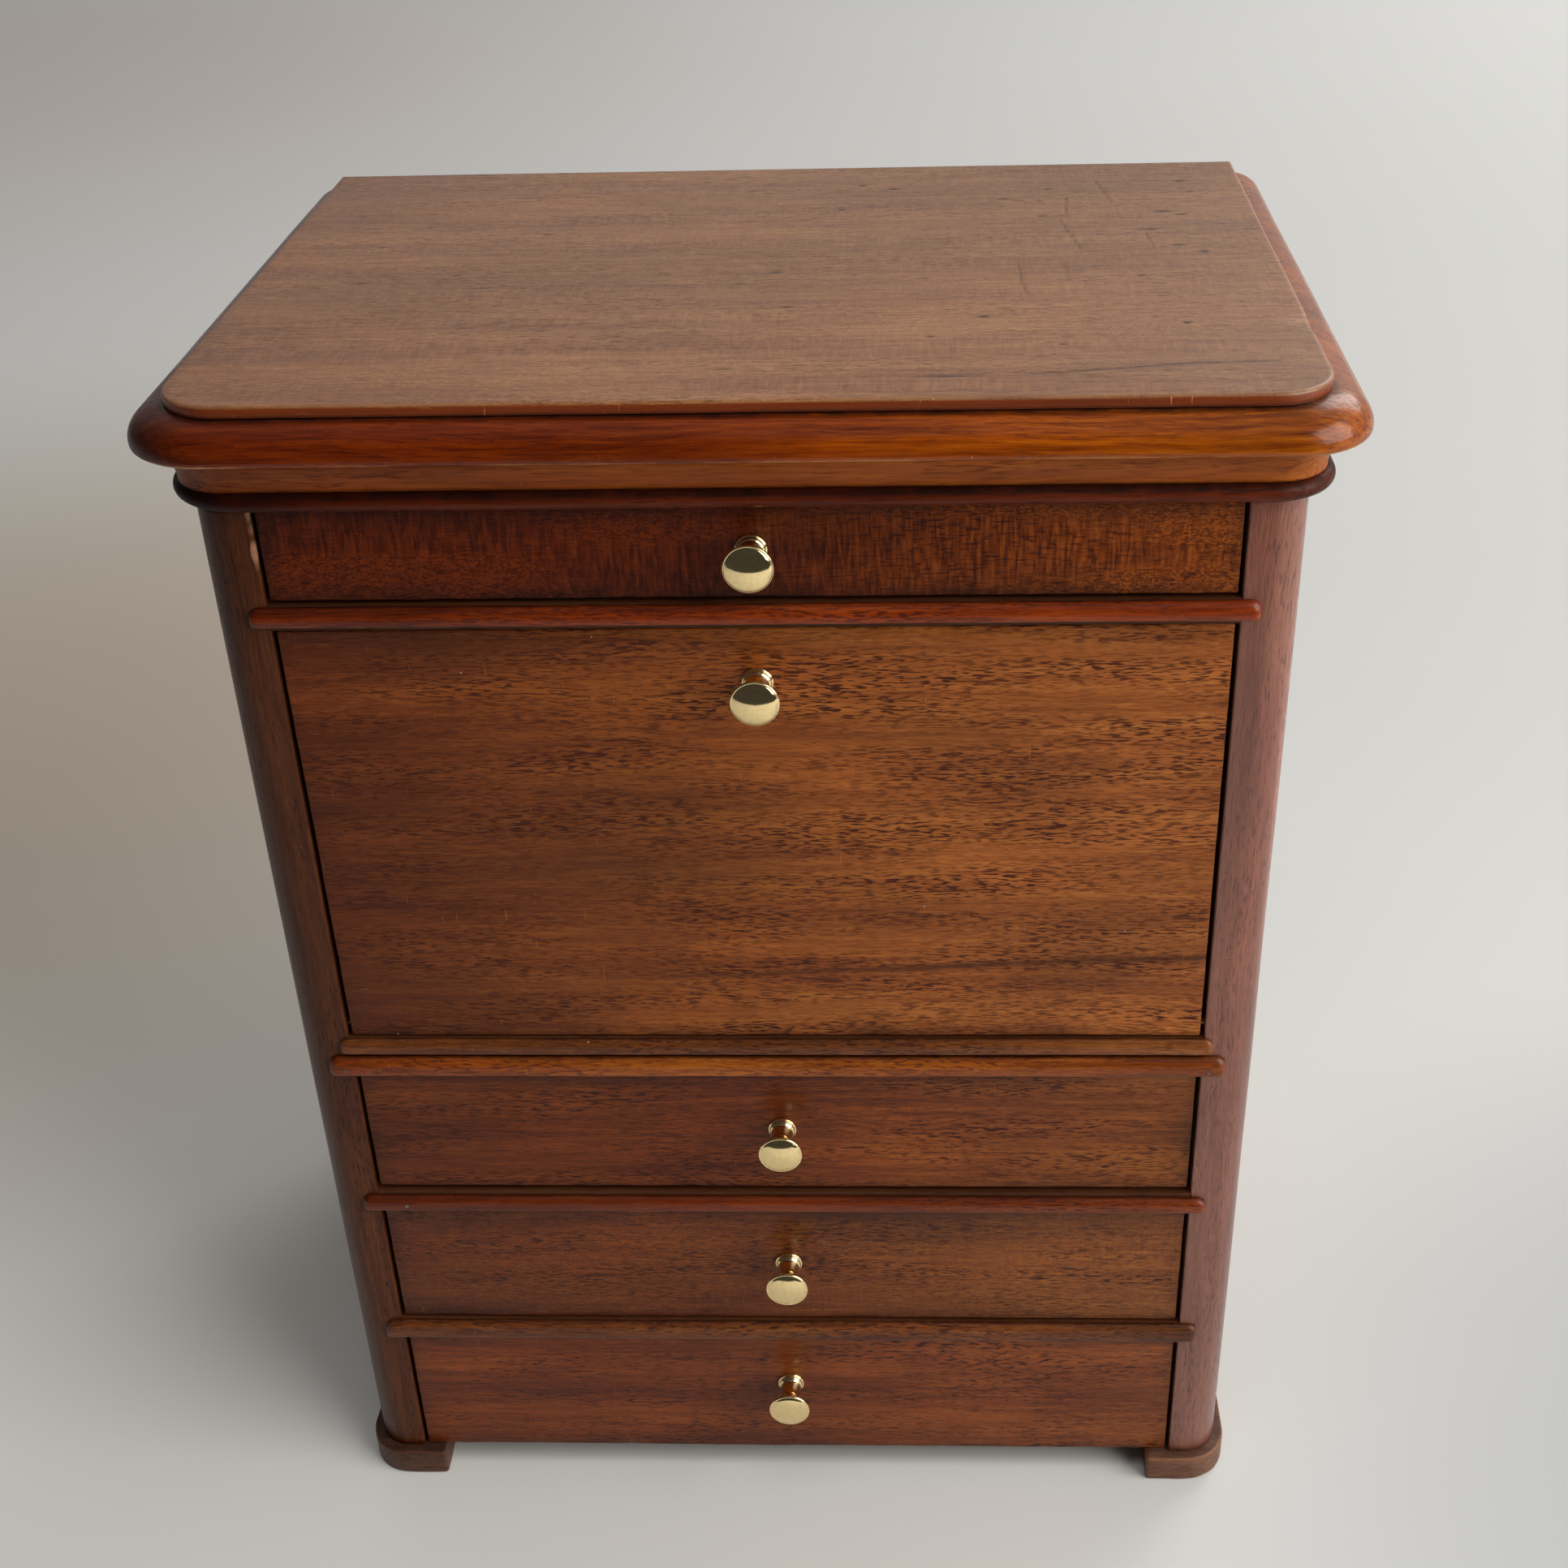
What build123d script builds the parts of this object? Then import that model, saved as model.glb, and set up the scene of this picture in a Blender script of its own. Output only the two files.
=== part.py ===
from build123d import *
import os

# Miniature chest: a frieze drawer over a tall falling flap, with three drawers below.
# Millimetres. +X right, +Y to the back, +Z up, origin at the middle of the base.

# Overall
CASE_HALF_W = 136.4
CASE_DEPTH = 190.6
KNOB_REACH = 12.6
OPEN_HALF_W = 121.0
FRONT = KNOB_REACH - (CASE_DEPTH + KNOB_REACH) / 2
BACK = FRONT + CASE_DEPTH

# Levels, from the floor up
FOOT_H = 10.0
FLOOR_TOP = 15.0
LOW_DIVIDER = (61.6, 68.2)
MID_DIVIDER = (115.0, 121.6)
FALL_RAIL = (168.6, 180.0)
UPPER_DIVIDER = (310.4, 317.2)
CASE_TOP = 344.5
ASTRAGAL_TOP = 349.3
COVE_TOP = 359.1
CROWN_TOP = 369.1
TOTAL_H = 372.2

# Case boards
POST_DEPTH = 20.0
POST_CORNER_R = 10.0
SIDE_T = 9.0
BACK_T = 4.0
SIDE_IN = CASE_HALF_W - SIDE_T
BACK_IN = BACK - BACK_T

# Overhangs of the top mouldings beyond the case
PANEL_OUT = 3.0
PANEL_FRONT_OUT = 5.6
PANEL_CORNER_R = 15.6
CROWN_OUT = 12.6
CROWN_ROLL = 11.3
CROWN_LIP_TOP = 360.8
COVE_HEAD_OUT = 8.6
COVE_FOOT_OUT = 3.6
ASTRAGAL_OUT = 5.8
ASTRAGAL_CORNER_R = 18.0
MOULDING_INSET = 4.0

# Feet
FOOT_OUT = 3.2
FOOT_IN_X = 113.8
FOOT_LENGTH = 32.0

# Drawers
FRONT_T = 6.5
FRONT_RECESS = 0.6
FRONT_GAP = 1.1
DRAWER_SIDE_T = 3.6
DRAWER_BACK_T = 3.4
DRAWER_BOTTOM_T = 2.2
DRAWER_LENGTH = 176.0
DRAWER_PLAY = 0.5
RUN_GAP = 0.2
GUIDE_H = 9.0
GROOVE_UP = 2.6
GROOVE_DEEP = 1.5

# Falling flap
FLAP_T = 6.2
FLAP_RECESS = 0.5
FLAP_BOTTOM = 180.3
FLAP_TOP = 309.9
PIN_R = 1.2
PIN_PLAY = 0.05
PIN_IN_FLAP = 5.5
PIN_IN_POST = 8.0

# Knobs
KNOB_HEAD_R = 6.35
DOME_R = 14.545
SHANK_R = 1.5
SHANK_LONG = 5.0
SHANK_PLAY = 0.05

# Beads: half length, bottom, top, projection
BEAD_1 = (125.6, 312.1, 316.9, 2.5)
BEAD_2_UPPER = (123.4, 175.1, 179.8, 1.9)
BEAD_2_LOWER = (127.4, 167.8, 173.7, 2.7)
BEAD_3 = (125.3, 115.5, 120.3, 2.4)
BEAD_4 = (126.0, 61.8, 67.9, 2.4)
BRAD_R = 0.5
BRAD_LONG = 7.0
POST_BRAD_X = 122.8
DIVIDER_BRAD_X = -112.0

os.makedirs("parts", exist_ok=True)


def save(shape, name):
    """Write one node, carrying its name."""
    shape.label = name
    export_step(shape, f"parts/{name}.step")


def block(x, y, z):
    """A box from three (low, high) pairs."""
    size = (x[1] - x[0], y[1] - y[0], z[1] - z[0])
    middle = ((x[0] + x[1]) / 2, (y[0] + y[1]) / 2, (z[0] + z[1]) / 2)
    return Pos(*middle) * Box(*size)


def rod(start, direction, radius, length):
    """A round rod from a point along a direction."""
    plane = Plane(origin=start, z_dir=direction)
    return extrude(plane * Circle(radius), amount=length)


def pair(shape):
    """The shape and its mirror image on the other side of the case."""
    return shape, mirror(shape, about=Plane.YZ)


def plan(half_w, front_y, corner_r):
    """Board outline with rounded front corners and a straight back edge."""
    outline = Polyline(
        (-half_w, BACK),
        (-half_w, front_y),
        (half_w, front_y),
        (half_w, BACK),
        close=True,
    )
    face = make_face(outline)
    corners = face.vertices().filter_by(lambda v: v.Y < 0)
    return fillet(corners, corner_r)


def nosed_board(half_w, front_y, corner_r, z_low, z_high, nose_low, nose_high):
    """A board with rounded lower and upper edges on its front and sides."""
    board = extrude(Pos(0, 0, z_low) * plan(half_w, front_y, corner_r), amount=z_high - z_low)
    rim = board.edges().filter_by(lambda e: e.center().Y < BACK - 0.01)
    upper = rim.filter_by(lambda e: abs(e.center().Z - z_high) < 0.01)
    board = fillet(upper, nose_high)
    rim = board.edges().filter_by(lambda e: e.center().Y < BACK - 0.01)
    lower = rim.filter_by(lambda e: abs(e.center().Z - z_low) < 0.01)
    return fillet(lower, nose_low)


# Top mouldings
def make_top_panel():
    """Thin flat top with softened edges."""
    return nosed_board(
        CASE_HALF_W + PANEL_OUT,
        FRONT - PANEL_FRONT_OUT,
        PANEL_CORNER_R,
        CROWN_TOP,
        TOTAL_H,
        0.5,
        0.9,
    )


def swept_board(z_low, z_high, profile):
    """A board whose section runs along both sides and round the front corners."""
    half_w = CASE_HALF_W - MOULDING_INSET
    front_y = FRONT + MOULDING_INSET
    corner = POST_CORNER_R - MOULDING_INSET
    core = extrude(Pos(0, 0, z_low) * plan(half_w, front_y, corner), amount=z_high - z_low)
    left_end = (-half_w, front_y + corner, z_low)
    front_left = (-half_w + corner, front_y, z_low)
    front_right = (half_w - corner, front_y, z_low)
    right_end = (half_w, front_y + corner, z_low)
    route = (
        Line((-half_w, BACK, z_low), left_end)
        + RadiusArc(left_end, front_left, -corner)
        + Line(front_left, front_right)
        + RadiusArc(front_right, right_end, -corner)
        + Line(right_end, (half_w, BACK, z_low))
    )
    section_plane = Plane(origin=(-half_w, BACK, z_low), x_dir=(-1, 0, 0), z_dir=(0, 1, 0))
    section = section_plane * make_face(profile)
    return core + sweep(section, path=route)


def make_crown_board():
    """Thick board whose edge rolls down in a flattened quarter round to a small lip."""
    height = CROWN_TOP - COVE_TOP
    out = CROWN_OUT + MOULDING_INSET
    roll_in = out - CROWN_ROLL
    lip = CROWN_LIP_TOP - COVE_TOP
    rise = height - lip
    profile = (
        Line((-0.5, 0), (out - 0.9, 0))
        + Line((out - 0.9, 0), (out - 0.1, 0.8))
        + Line((out - 0.1, 0.8), (out, lip))
        + Spline(
            (out, lip),
            (roll_in + CROWN_ROLL * 0.707, lip + rise * 0.707),
            (roll_in, height),
            tangents=((0, 1), (-1, 0)),
        )
        + Line((roll_in, height), (-0.5, height))
        + Line((-0.5, height), (-0.5, 0))
    )
    return swept_board(COVE_TOP, CROWN_TOP, profile)


def make_astragal_board():
    """Thin board with a half-round nose."""
    nose = (ASTRAGAL_TOP - CASE_TOP) / 2 - 0.1
    return nosed_board(
        CASE_HALF_W + ASTRAGAL_OUT,
        FRONT - ASTRAGAL_OUT,
        ASTRAGAL_CORNER_R,
        CASE_TOP,
        ASTRAGAL_TOP,
        nose,
        nose,
    )


def make_cove_board():
    """Board hollowed under its lip on the front and sides."""
    fillet_h = 1.0
    height = COVE_TOP - ASTRAGAL_TOP
    head = COVE_HEAD_OUT + MOULDING_INSET
    foot = COVE_FOOT_OUT + MOULDING_INSET
    hollow = height - fillet_h
    profile = (
        Line((-0.5, 0), (foot, 0))
        + Line((foot, 0), (foot, fillet_h))
        + ThreePointArc(
            (foot, fillet_h),
            (foot + (head - foot) * 0.30, height - hollow * 0.38),
            (head, hollow),
        )
        + Line((head, hollow), (head, height))
        + Line((head, height), (-0.5, height))
        + Line((-0.5, height), (-0.5, 0))
    )
    return swept_board(ASTRAGAL_TOP, COVE_TOP, profile)


# Case
def make_post(pin_hole, brad_hole):
    """Right-hand front post with a large rounded outer corner."""
    outline = block(
        (OPEN_HALF_W, CASE_HALF_W),
        (FRONT, FRONT + POST_DEPTH),
        (FOOT_H, CASE_TOP),
    )
    upright = outline.edges().filter_by(Axis.Z)
    outer = upright.filter_by(lambda e: e.center().X > CASE_HALF_W - 1 and e.center().Y < FRONT + 1)
    post = fillet(outer, POST_CORNER_R)
    upright = post.edges().filter_by(Axis.Z)
    inner = upright.filter_by(lambda e: e.center().X < OPEN_HALF_W + 1 and e.center().Y < FRONT + 1)
    post = fillet(inner, 0.6)
    return post - pin_hole - brad_hole


def notched_board(front_y, z_low, z_high):
    """A shelf cut round the posts at its front corners."""
    tongue = block((-OPEN_HALF_W, OPEN_HALF_W), (front_y, FRONT + POST_DEPTH), (z_low, z_high))
    body = block((-SIDE_IN, SIDE_IN), (FRONT + POST_DEPTH, BACK_IN), (z_low, z_high))
    return tongue + body


def make_bead(half_long, z_low, z_high, out):
    """A strip with a rounded top, a softened lower lip and rounded ends."""
    strip = block((-half_long, half_long), (FRONT - out, FRONT), (z_low, z_high))
    front_edges = strip.edges().filter_by(lambda e: e.center().Y < FRONT - out + 0.01)
    ends = front_edges.filter_by(Axis.Z)
    strip = fillet(ends, out * 0.72)
    rim = strip.edges().filter_by(
        lambda e: abs(e.center().Z - z_high) < 0.01 and e.center().Y < FRONT - 0.05
    )
    strip = fillet(rim, out * 0.66)
    rim = strip.edges().filter_by(
        lambda e: abs(e.center().Z - z_low) < 0.01 and e.center().Y < FRONT - 0.05
    )
    return fillet(rim, 0.5)


def make_front_foot():
    """Right-hand front foot, following the post's rounded corner."""
    foot = block(
        (FOOT_IN_X, CASE_HALF_W + FOOT_OUT),
        (FRONT - FOOT_OUT, FRONT - FOOT_OUT + FOOT_LENGTH),
        (0, FOOT_H),
    )
    upright = foot.edges().filter_by(Axis.Z)
    outer = upright.filter_by(lambda e: e.center().X > CASE_HALF_W and e.center().Y < FRONT)
    foot = fillet(outer, POST_CORNER_R + FOOT_OUT)
    upright = foot.edges().filter_by(Axis.Z)
    inner = upright.filter_by(lambda e: e.center().X < FOOT_IN_X + 1 and e.center().Y < FRONT)
    return fillet(inner, 1.2)


def make_rear_foot():
    """Right-hand rear foot, a plain block flush with the back."""
    foot = block(
        (FOOT_IN_X, CASE_HALF_W + FOOT_OUT),
        (BACK - FOOT_LENGTH, BACK),
        (0, FOOT_H),
    )
    upright = foot.edges().filter_by(Axis.Z)
    return fillet(upright.filter_by(lambda e: e.center().X > CASE_HALF_W), 1.2)


# Drawers
def make_knob(x, z, face_y):
    """Turned knob: stepped collar, waisted neck, domed disc head, plain shank."""
    outline = Wire(
        [
            Line((0, SHANK_LONG), (SHANK_R, SHANK_LONG)),
            Line((SHANK_R, SHANK_LONG), (SHANK_R, 0)),
            Line((SHANK_R, 0), (4.1, 0)),
            Line((4.1, 0), (4.1, -1.2)),
            Line((4.1, -1.2), (3.5, -1.2)),
            Line((3.5, -1.2), (3.3, -2.3)),
            ThreePointArc((3.3, -2.3), (2.4, -6.2), (3.4, -10.0)),
            Line((3.4, -10.0), (6.0, -11.1)),
            ThreePointArc((6.0, -11.1), (KNOB_HEAD_R, -11.65), (6.0, -12.2)),
            Line((6.0, -12.2), (5.3, -12.1)),
            RadiusArc((5.3, -12.1), (0, -13.1), DOME_R),
            Line((0, -13.1), (0, SHANK_LONG)),
        ]
    )
    turned = revolve(make_face(outline), axis=Axis.Y)
    return Pos(x, face_y, z) * turned


def make_drawer(name, z_front, z_box, knob_x, knob_z):
    """One drawer: front, two sides, back, bottom and knob."""
    face_y = FRONT + FRONT_RECESS
    inner_y = face_y + FRONT_T
    end_y = inner_y + DRAWER_LENGTH
    half_w = OPEN_HALF_W - DRAWER_PLAY
    inside = half_w - DRAWER_SIDE_T
    groove = (z_box[0] + GROOVE_UP, z_box[0] + GROOVE_UP + DRAWER_BOTTOM_T)
    front_half = OPEN_HALF_W - FRONT_GAP

    front = block((-front_half, front_half), (face_y, inner_y), z_front)
    outer = front.edges().filter_by(lambda e: e.center().Y < face_y + 0.01)
    front = fillet(outer, 0.5)
    front -= rod((knob_x, face_y - 1, knob_z), (0, 1, 0), SHANK_R + SHANK_PLAY, SHANK_LONG + 1.4)
    panel_slot = block((-inside - GROOVE_DEEP, inside + GROOVE_DEEP), (inner_y - 2, inner_y), groove)
    save(front - panel_slot, f"{name}_front")

    side = block((inside, half_w), (inner_y, end_y), z_box)
    side_slot = block((inside, inside + GROOVE_DEEP), (inner_y, end_y), groove)
    side_right, side_left = pair(side - side_slot)
    save(side_right, f"{name}_side_right")
    save(side_left, f"{name}_side_left")

    back_top = z_box[1] - 2.0
    back = block((-inside, inside), (end_y - DRAWER_BACK_T, end_y), (groove[1], back_top))
    save(back, f"{name}_back")

    bottom = block(
        (-inside - GROOVE_DEEP + 0.1, inside + GROOVE_DEEP - 0.1),
        (inner_y - 1.9, end_y),
        groove,
    )
    save(bottom, f"{name}_bottom")
    save(make_knob(knob_x, knob_z, face_y), f"{name}_knob")


# Falling flap
PIVOT_Y = FRONT + FLAP_RECESS + FLAP_T / 2
PIVOT_Z = FLAP_BOTTOM + FLAP_T / 2
FLAP_HALF_W = OPEN_HALF_W - FRONT_GAP
FLAP_KNOB_X = 1.0
FLAP_KNOB_Z = 294.6


def make_flap(pin_sockets):
    """The flap, round along its lower edge where it turns on its pins."""
    face_y = FRONT + FLAP_RECESS
    flap = block((-FLAP_HALF_W, FLAP_HALF_W), (face_y, face_y + FLAP_T), (FLAP_BOTTOM, FLAP_TOP))
    lower = flap.edges().filter_by(Axis.X).filter_by(lambda e: e.center().Z < FLAP_BOTTOM + 1)
    flap = fillet(lower, FLAP_T / 2 - 0.05)
    upper = flap.edges().filter_by(
        lambda e: e.center().Y < face_y + 0.01 and e.center().Z > FLAP_BOTTOM + FLAP_T
    )
    flap = fillet(upper, 0.6)
    shank_hole = rod(
        (FLAP_KNOB_X, face_y - 1, FLAP_KNOB_Z),
        (0, 1, 0),
        SHANK_R + SHANK_PLAY,
        SHANK_LONG + 1.1,
    )
    return flap - shank_hole - pin_sockets


pin_start = OPEN_HALF_W - FRONT_GAP - PIN_IN_FLAP
pin_right, pin_left = pair(
    rod((pin_start, PIVOT_Y, PIVOT_Z), (1, 0, 0), PIN_R, PIN_IN_FLAP + FRONT_GAP + PIN_IN_POST)
)
post_hole = rod((OPEN_HALF_W - 1, PIVOT_Y, PIVOT_Z), (1, 0, 0), PIN_R, PIN_IN_POST + 1)
socket_right, socket_left = pair(
    rod((pin_start - 0.3, PIVOT_Y, PIVOT_Z), (1, 0, 0), PIN_R + PIN_PLAY, PIN_IN_FLAP + 1)
)



def make_brad(x, bead):
    """A fine nail through a bead into the wood behind it."""
    half_long, z_low, z_high, out = bead
    return rod((x, FRONT - out - 0.15, z_low + 2.0), (0, 1, 0), BRAD_R, BRAD_LONG)


brad_right, brad_left = pair(make_brad(POST_BRAD_X, BEAD_2_LOWER))
brad_divider = make_brad(DIVIDER_BRAD_X, BEAD_3)
brads = [brad_right, brad_left, brad_divider]

# Write the nodes
save(make_top_panel(), "top_panel")
save(make_crown_board(), "crown_board")
save(make_cove_board(), "cove_board")
save(make_astragal_board(), "astragal_board")

post_right, post_left = pair(make_post(post_hole, brad_right))
save(post_right, "corner_post_right")
save(post_left, "corner_post_left")

side_right, side_left = pair(
    block((SIDE_IN, CASE_HALF_W), (FRONT + POST_DEPTH, BACK), (FOOT_H, CASE_TOP))
)
save(side_right, "side_panel_right")
save(side_left, "side_panel_left")
save(block((-SIDE_IN, SIDE_IN), (BACK_IN, BACK), (FOOT_H, CASE_TOP)), "back_panel")

board_front = FRONT + FRONT_RECESS + FRONT_T + 0.6
save(notched_board(board_front, FOOT_H, FLOOR_TOP), "bottom_board")
save(notched_board(FRONT, *LOW_DIVIDER), "low_divider")
save(notched_board(FRONT, *MID_DIVIDER) - brad_divider, "mid_divider")
save(notched_board(FRONT, *UPPER_DIVIDER), "upper_divider")

rail = block((-OPEN_HALF_W, OPEN_HALF_W), (FRONT, FRONT + POST_DEPTH), FALL_RAIL)
save(rail, "fall_rail")
floor_front = FRONT + FLAP_RECESS + FLAP_T + 0.5
floor_levels = (FALL_RAIL[1], FLAP_BOTTOM + FLAP_T)
save(notched_board(floor_front, *floor_levels), "writing_floor")

stop_front = FRONT + FLAP_RECESS + FLAP_T + 0.3
stop = block((-OPEN_HALF_W, OPEN_HALF_W), (stop_front, stop_front + 4), (304.0, UPPER_DIVIDER[0]))
save(stop, "fall_stop")

guides = []
for level in (FLOOR_TOP, LOW_DIVIDER[1], MID_DIVIDER[1], UPPER_DIVIDER[1]):
    guides.append(
        block((OPEN_HALF_W, SIDE_IN), (FRONT + POST_DEPTH, BACK_IN), (level, level + GUIDE_H))
    )
guides_right, guides_left = pair(Compound(guides))
save(guides_right, "drawer_guides_right")
save(guides_left, "drawer_guides_left")

save(make_bead(*BEAD_1), "bead_1")
save(make_bead(*BEAD_2_UPPER), "bead_2_upper")
save(make_bead(*BEAD_2_LOWER) - [brad_right, brad_left], "bead_2_lower")
save(make_bead(*BEAD_3) - brad_divider, "bead_3")
save(make_bead(*BEAD_4), "bead_4")
save(Compound(brads), "bead_brads")

foot_right, foot_left = pair(make_front_foot())
save(foot_right, "front_foot_right")
save(foot_left, "front_foot_left")
rear_right, rear_left = pair(make_rear_foot())
save(rear_right, "rear_foot_right")
save(rear_left, "rear_foot_left")

save(pin_right, "fall_pin_right")
save(pin_left, "fall_pin_left")
save(make_flap([socket_right, socket_left]), "fall_panel")
save(make_knob(FLAP_KNOB_X, FLAP_KNOB_Z, FRONT + FLAP_RECESS), "fall_knob")

make_drawer("frieze_drawer", (318.3, 343.9), (317.4, 341.5), 1.0, 331.5)
make_drawer("upper_drawer", (123.2, 167.2), (121.8, 164.0), 1.5, 146.0)
make_drawer("middle_drawer", (68.9, 114.3), (68.4, 111.5), 1.4, 92.5)
make_drawer("lower_drawer", (10.3, 61.0), (15.2, 58.5), 0.2, 40.1)
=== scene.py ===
import math
import random

import bpy
from mathutils import Matrix, Vector, noise


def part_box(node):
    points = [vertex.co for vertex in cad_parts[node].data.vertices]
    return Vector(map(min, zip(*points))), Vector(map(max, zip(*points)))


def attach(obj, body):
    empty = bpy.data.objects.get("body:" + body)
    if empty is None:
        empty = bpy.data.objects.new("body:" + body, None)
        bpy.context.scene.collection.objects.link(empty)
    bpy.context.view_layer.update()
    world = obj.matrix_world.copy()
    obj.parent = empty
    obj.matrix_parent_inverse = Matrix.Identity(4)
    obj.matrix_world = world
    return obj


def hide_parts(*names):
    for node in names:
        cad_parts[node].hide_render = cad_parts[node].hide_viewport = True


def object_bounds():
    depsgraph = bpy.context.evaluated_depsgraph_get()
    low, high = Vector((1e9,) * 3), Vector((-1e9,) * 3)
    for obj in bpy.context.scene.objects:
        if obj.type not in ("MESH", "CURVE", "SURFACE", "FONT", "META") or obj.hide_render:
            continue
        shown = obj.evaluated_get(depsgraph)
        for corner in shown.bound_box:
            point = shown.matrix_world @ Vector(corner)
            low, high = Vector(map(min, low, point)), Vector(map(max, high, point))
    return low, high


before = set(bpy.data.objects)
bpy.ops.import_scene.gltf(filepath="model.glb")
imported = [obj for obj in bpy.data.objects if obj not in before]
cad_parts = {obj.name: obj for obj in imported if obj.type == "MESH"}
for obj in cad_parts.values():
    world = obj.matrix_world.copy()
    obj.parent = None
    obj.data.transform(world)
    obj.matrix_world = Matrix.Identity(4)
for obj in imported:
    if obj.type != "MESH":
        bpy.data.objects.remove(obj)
cad_low, cad_high = [Vector(v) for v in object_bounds()]
MM = 0.001


def box_mm(node):
    """A node's lowest and highest corners at rest, in millimetres."""
    return [Vector(v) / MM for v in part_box(node)]


# ---------------------------------------------------------------- places taken from the frame
post_low, post_high = box_mm("corner_post_right")
panel_low, panel_high = box_mm("top_panel")
crown_low, crown_high = box_mm("crown_board")
cove_low, cove_high = box_mm("cove_board")
astragal_low, astragal_high = box_mm("astragal_board")
FRONT = post_low.y
BACK = panel_high.y
CASE_HALF = post_high.x
OPEN_HALF = post_low.x
POST_R = 10.0           # the posts' rounded outer corner
PANEL_CORNER_R = 15.6   # the top panel's front corners
KNOB_REACH = 13.1       # how far a knob stands out from the front
KNOB_SHANK = 5.0        # how far its shank goes in
ROUND_LINES = (0.0, 0.423, 0.732)   # grid lines across a rounded edge, as parts of its radius


def rough_noise(p, scale, seed=0.0):
    """Smooth noise of about -1 to 1 at a point in millimetres; scale is per millimetre."""
    shift = (seed * 7.31, seed * -3.17, seed * 1.73)
    return noise.noise(Vector([p[a] * scale + shift[a] for a in range(3)]))


def ramp01(v, low, high):
    return max(0.0, min(1.0, (v - low) / (high - low)))


def smooth01(v, low, high):
    t = ramp01(v, low, high)
    return t * t * (3 - 2 * t)


def pull_in(v, low, high, margin):
    """A value kept a margin inside a range, or the middle of a range too short for that."""
    if high - low <= 2 * margin:
        return (low + high) / 2
    return min(max(v, low + margin), high - margin)


# ---------------------------------------------------------------- pieces
def piece(name, verts, faces, mat, body, nodes, wear=None, dirt_and_shade=None):
    """A mesh from points in millimetres, kept inside the CAD box, riding on a body."""
    kept = [[min(max(p[i] * MM, cad_low[i]), cad_high[i]) for i in range(3)] for p in verts]
    mesh = bpy.data.meshes.new(name)
    mesh.from_pydata(kept, [], faces)
    mesh.validate()
    mesh.update()
    for label, values in (("wear", wear), ("dirt_and_shade", dirt_and_shade)):
        layer = mesh.attributes.new(label, "FLOAT", "POINT")
        layer.data.foreach_set("value", values if values else [0.0] * len(kept))
    mesh.shade_smooth()
    obj = bpy.data.objects.new(name, mesh)
    bpy.context.scene.collection.objects.link(obj)
    obj.data.materials.append(mat)
    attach(obj, body)
    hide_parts(*nodes)
    return obj


def axis_points(low, high, r, step):
    """Grid lines along one axis, crowded where the edge is rounded."""
    inner = high - low - 2 * r
    count = max(1, round(inner / step))
    lead = [low + t * r for t in ROUND_LINES]
    tail = [high - t * r for t in reversed(ROUND_LINES)]
    return lead + [low + r + inner * i / count for i in range(count + 1)] + tail


def block_piece(name, node, mat, body, r=0.45, step=4.0, warp=0.08, seed=1.0,
                chip=0.5, rub=1.0, edge_shade=0.0, bottom_shade=0.0, dark_patches=()):
    """A board or block with unevenly softened edges and faces that aren't quite flat. Its edges and foot can
    darken as painted shade, and a dark patch is
    its place, size and strength: (x, z, size, strength)."""
    low, high = box_mm(node)
    lines = [axis_points(low[i], high[i], r, step) for i in range(3)]
    last = [len(l) - 1 for l in lines]
    verts, wear, dirt_and_shade, index, faces = [], [], [], {}, []

    def painted_shade_at(p, gap):
        # painted shade toward the edges and the foot, plus darker patches
        painted_shade = edge_shade * math.exp(-gap / 4.0) + bottom_shade * math.exp(-(p.z - low.z) / 2.2)
        painted_shade *= 1 + 0.7 * rough_noise(p, 0.06, seed + 9)
        for sx, sz, size, much in dark_patches:
            away_sq = ((p.x - sx) / size) ** 2 + ((p.z - sz) / (0.6 * size)) ** 2
            painted_shade += much * math.exp(-away_sq) * (1 + 0.6 * rough_noise(p, 0.15, seed + 11))
        return max(0.0, painted_shade)

    def corner(i, j, k):
        key = (i, j, k)
        if key in index:
            return index[key]
        p = Vector((lines[0][i], lines[1][j], lines[2][k]))
        gap = sorted(min(p[a] - low[a], high[a] - p[a]) for a in range(3))[1]
        uneven = chip * rough_noise(p, 0.11, seed) + chip * 0.6 * rough_noise(p, 0.5, seed + 3)
        local = max(0.15 * r, min(1.9 * r, r * (1 + uneven)))
        q = Vector([pull_in(p[a], low[a], high[a], local) for a in range(3)])
        away = p - q
        if away.length > 1e-6:
            moved = q + away.normalized() * min(away.length, local)
        else:
            moved = p.copy()
        moved += Vector([rough_noise(p, 0.018, seed + 5 + a) for a in range(3)]) * warp
        index[key] = len(verts)
        verts.append(moved)
        wear.append(rub * math.exp(-gap / 1.3))
        dirt_and_shade.append(painted_shade_at(p, gap))
        return index[key]

    for a in range(3):
        b, c = (a + 1) % 3, (a + 2) % 3
        for side in (0, last[a]):
            for m in range(last[b]):
                for n in range(last[c]):
                    ring = []
                    for mm, nn in ((m, n), (m + 1, n), (m + 1, n + 1), (m, n + 1)):
                        key = [0, 0, 0]
                        key[a], key[b], key[c] = side, mm, nn
                        ring.append(corner(*key))
                    faces.append(ring if side else ring[::-1])
    return piece(name, verts, faces, mat, body, [node], wear, dirt_and_shade)


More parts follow.
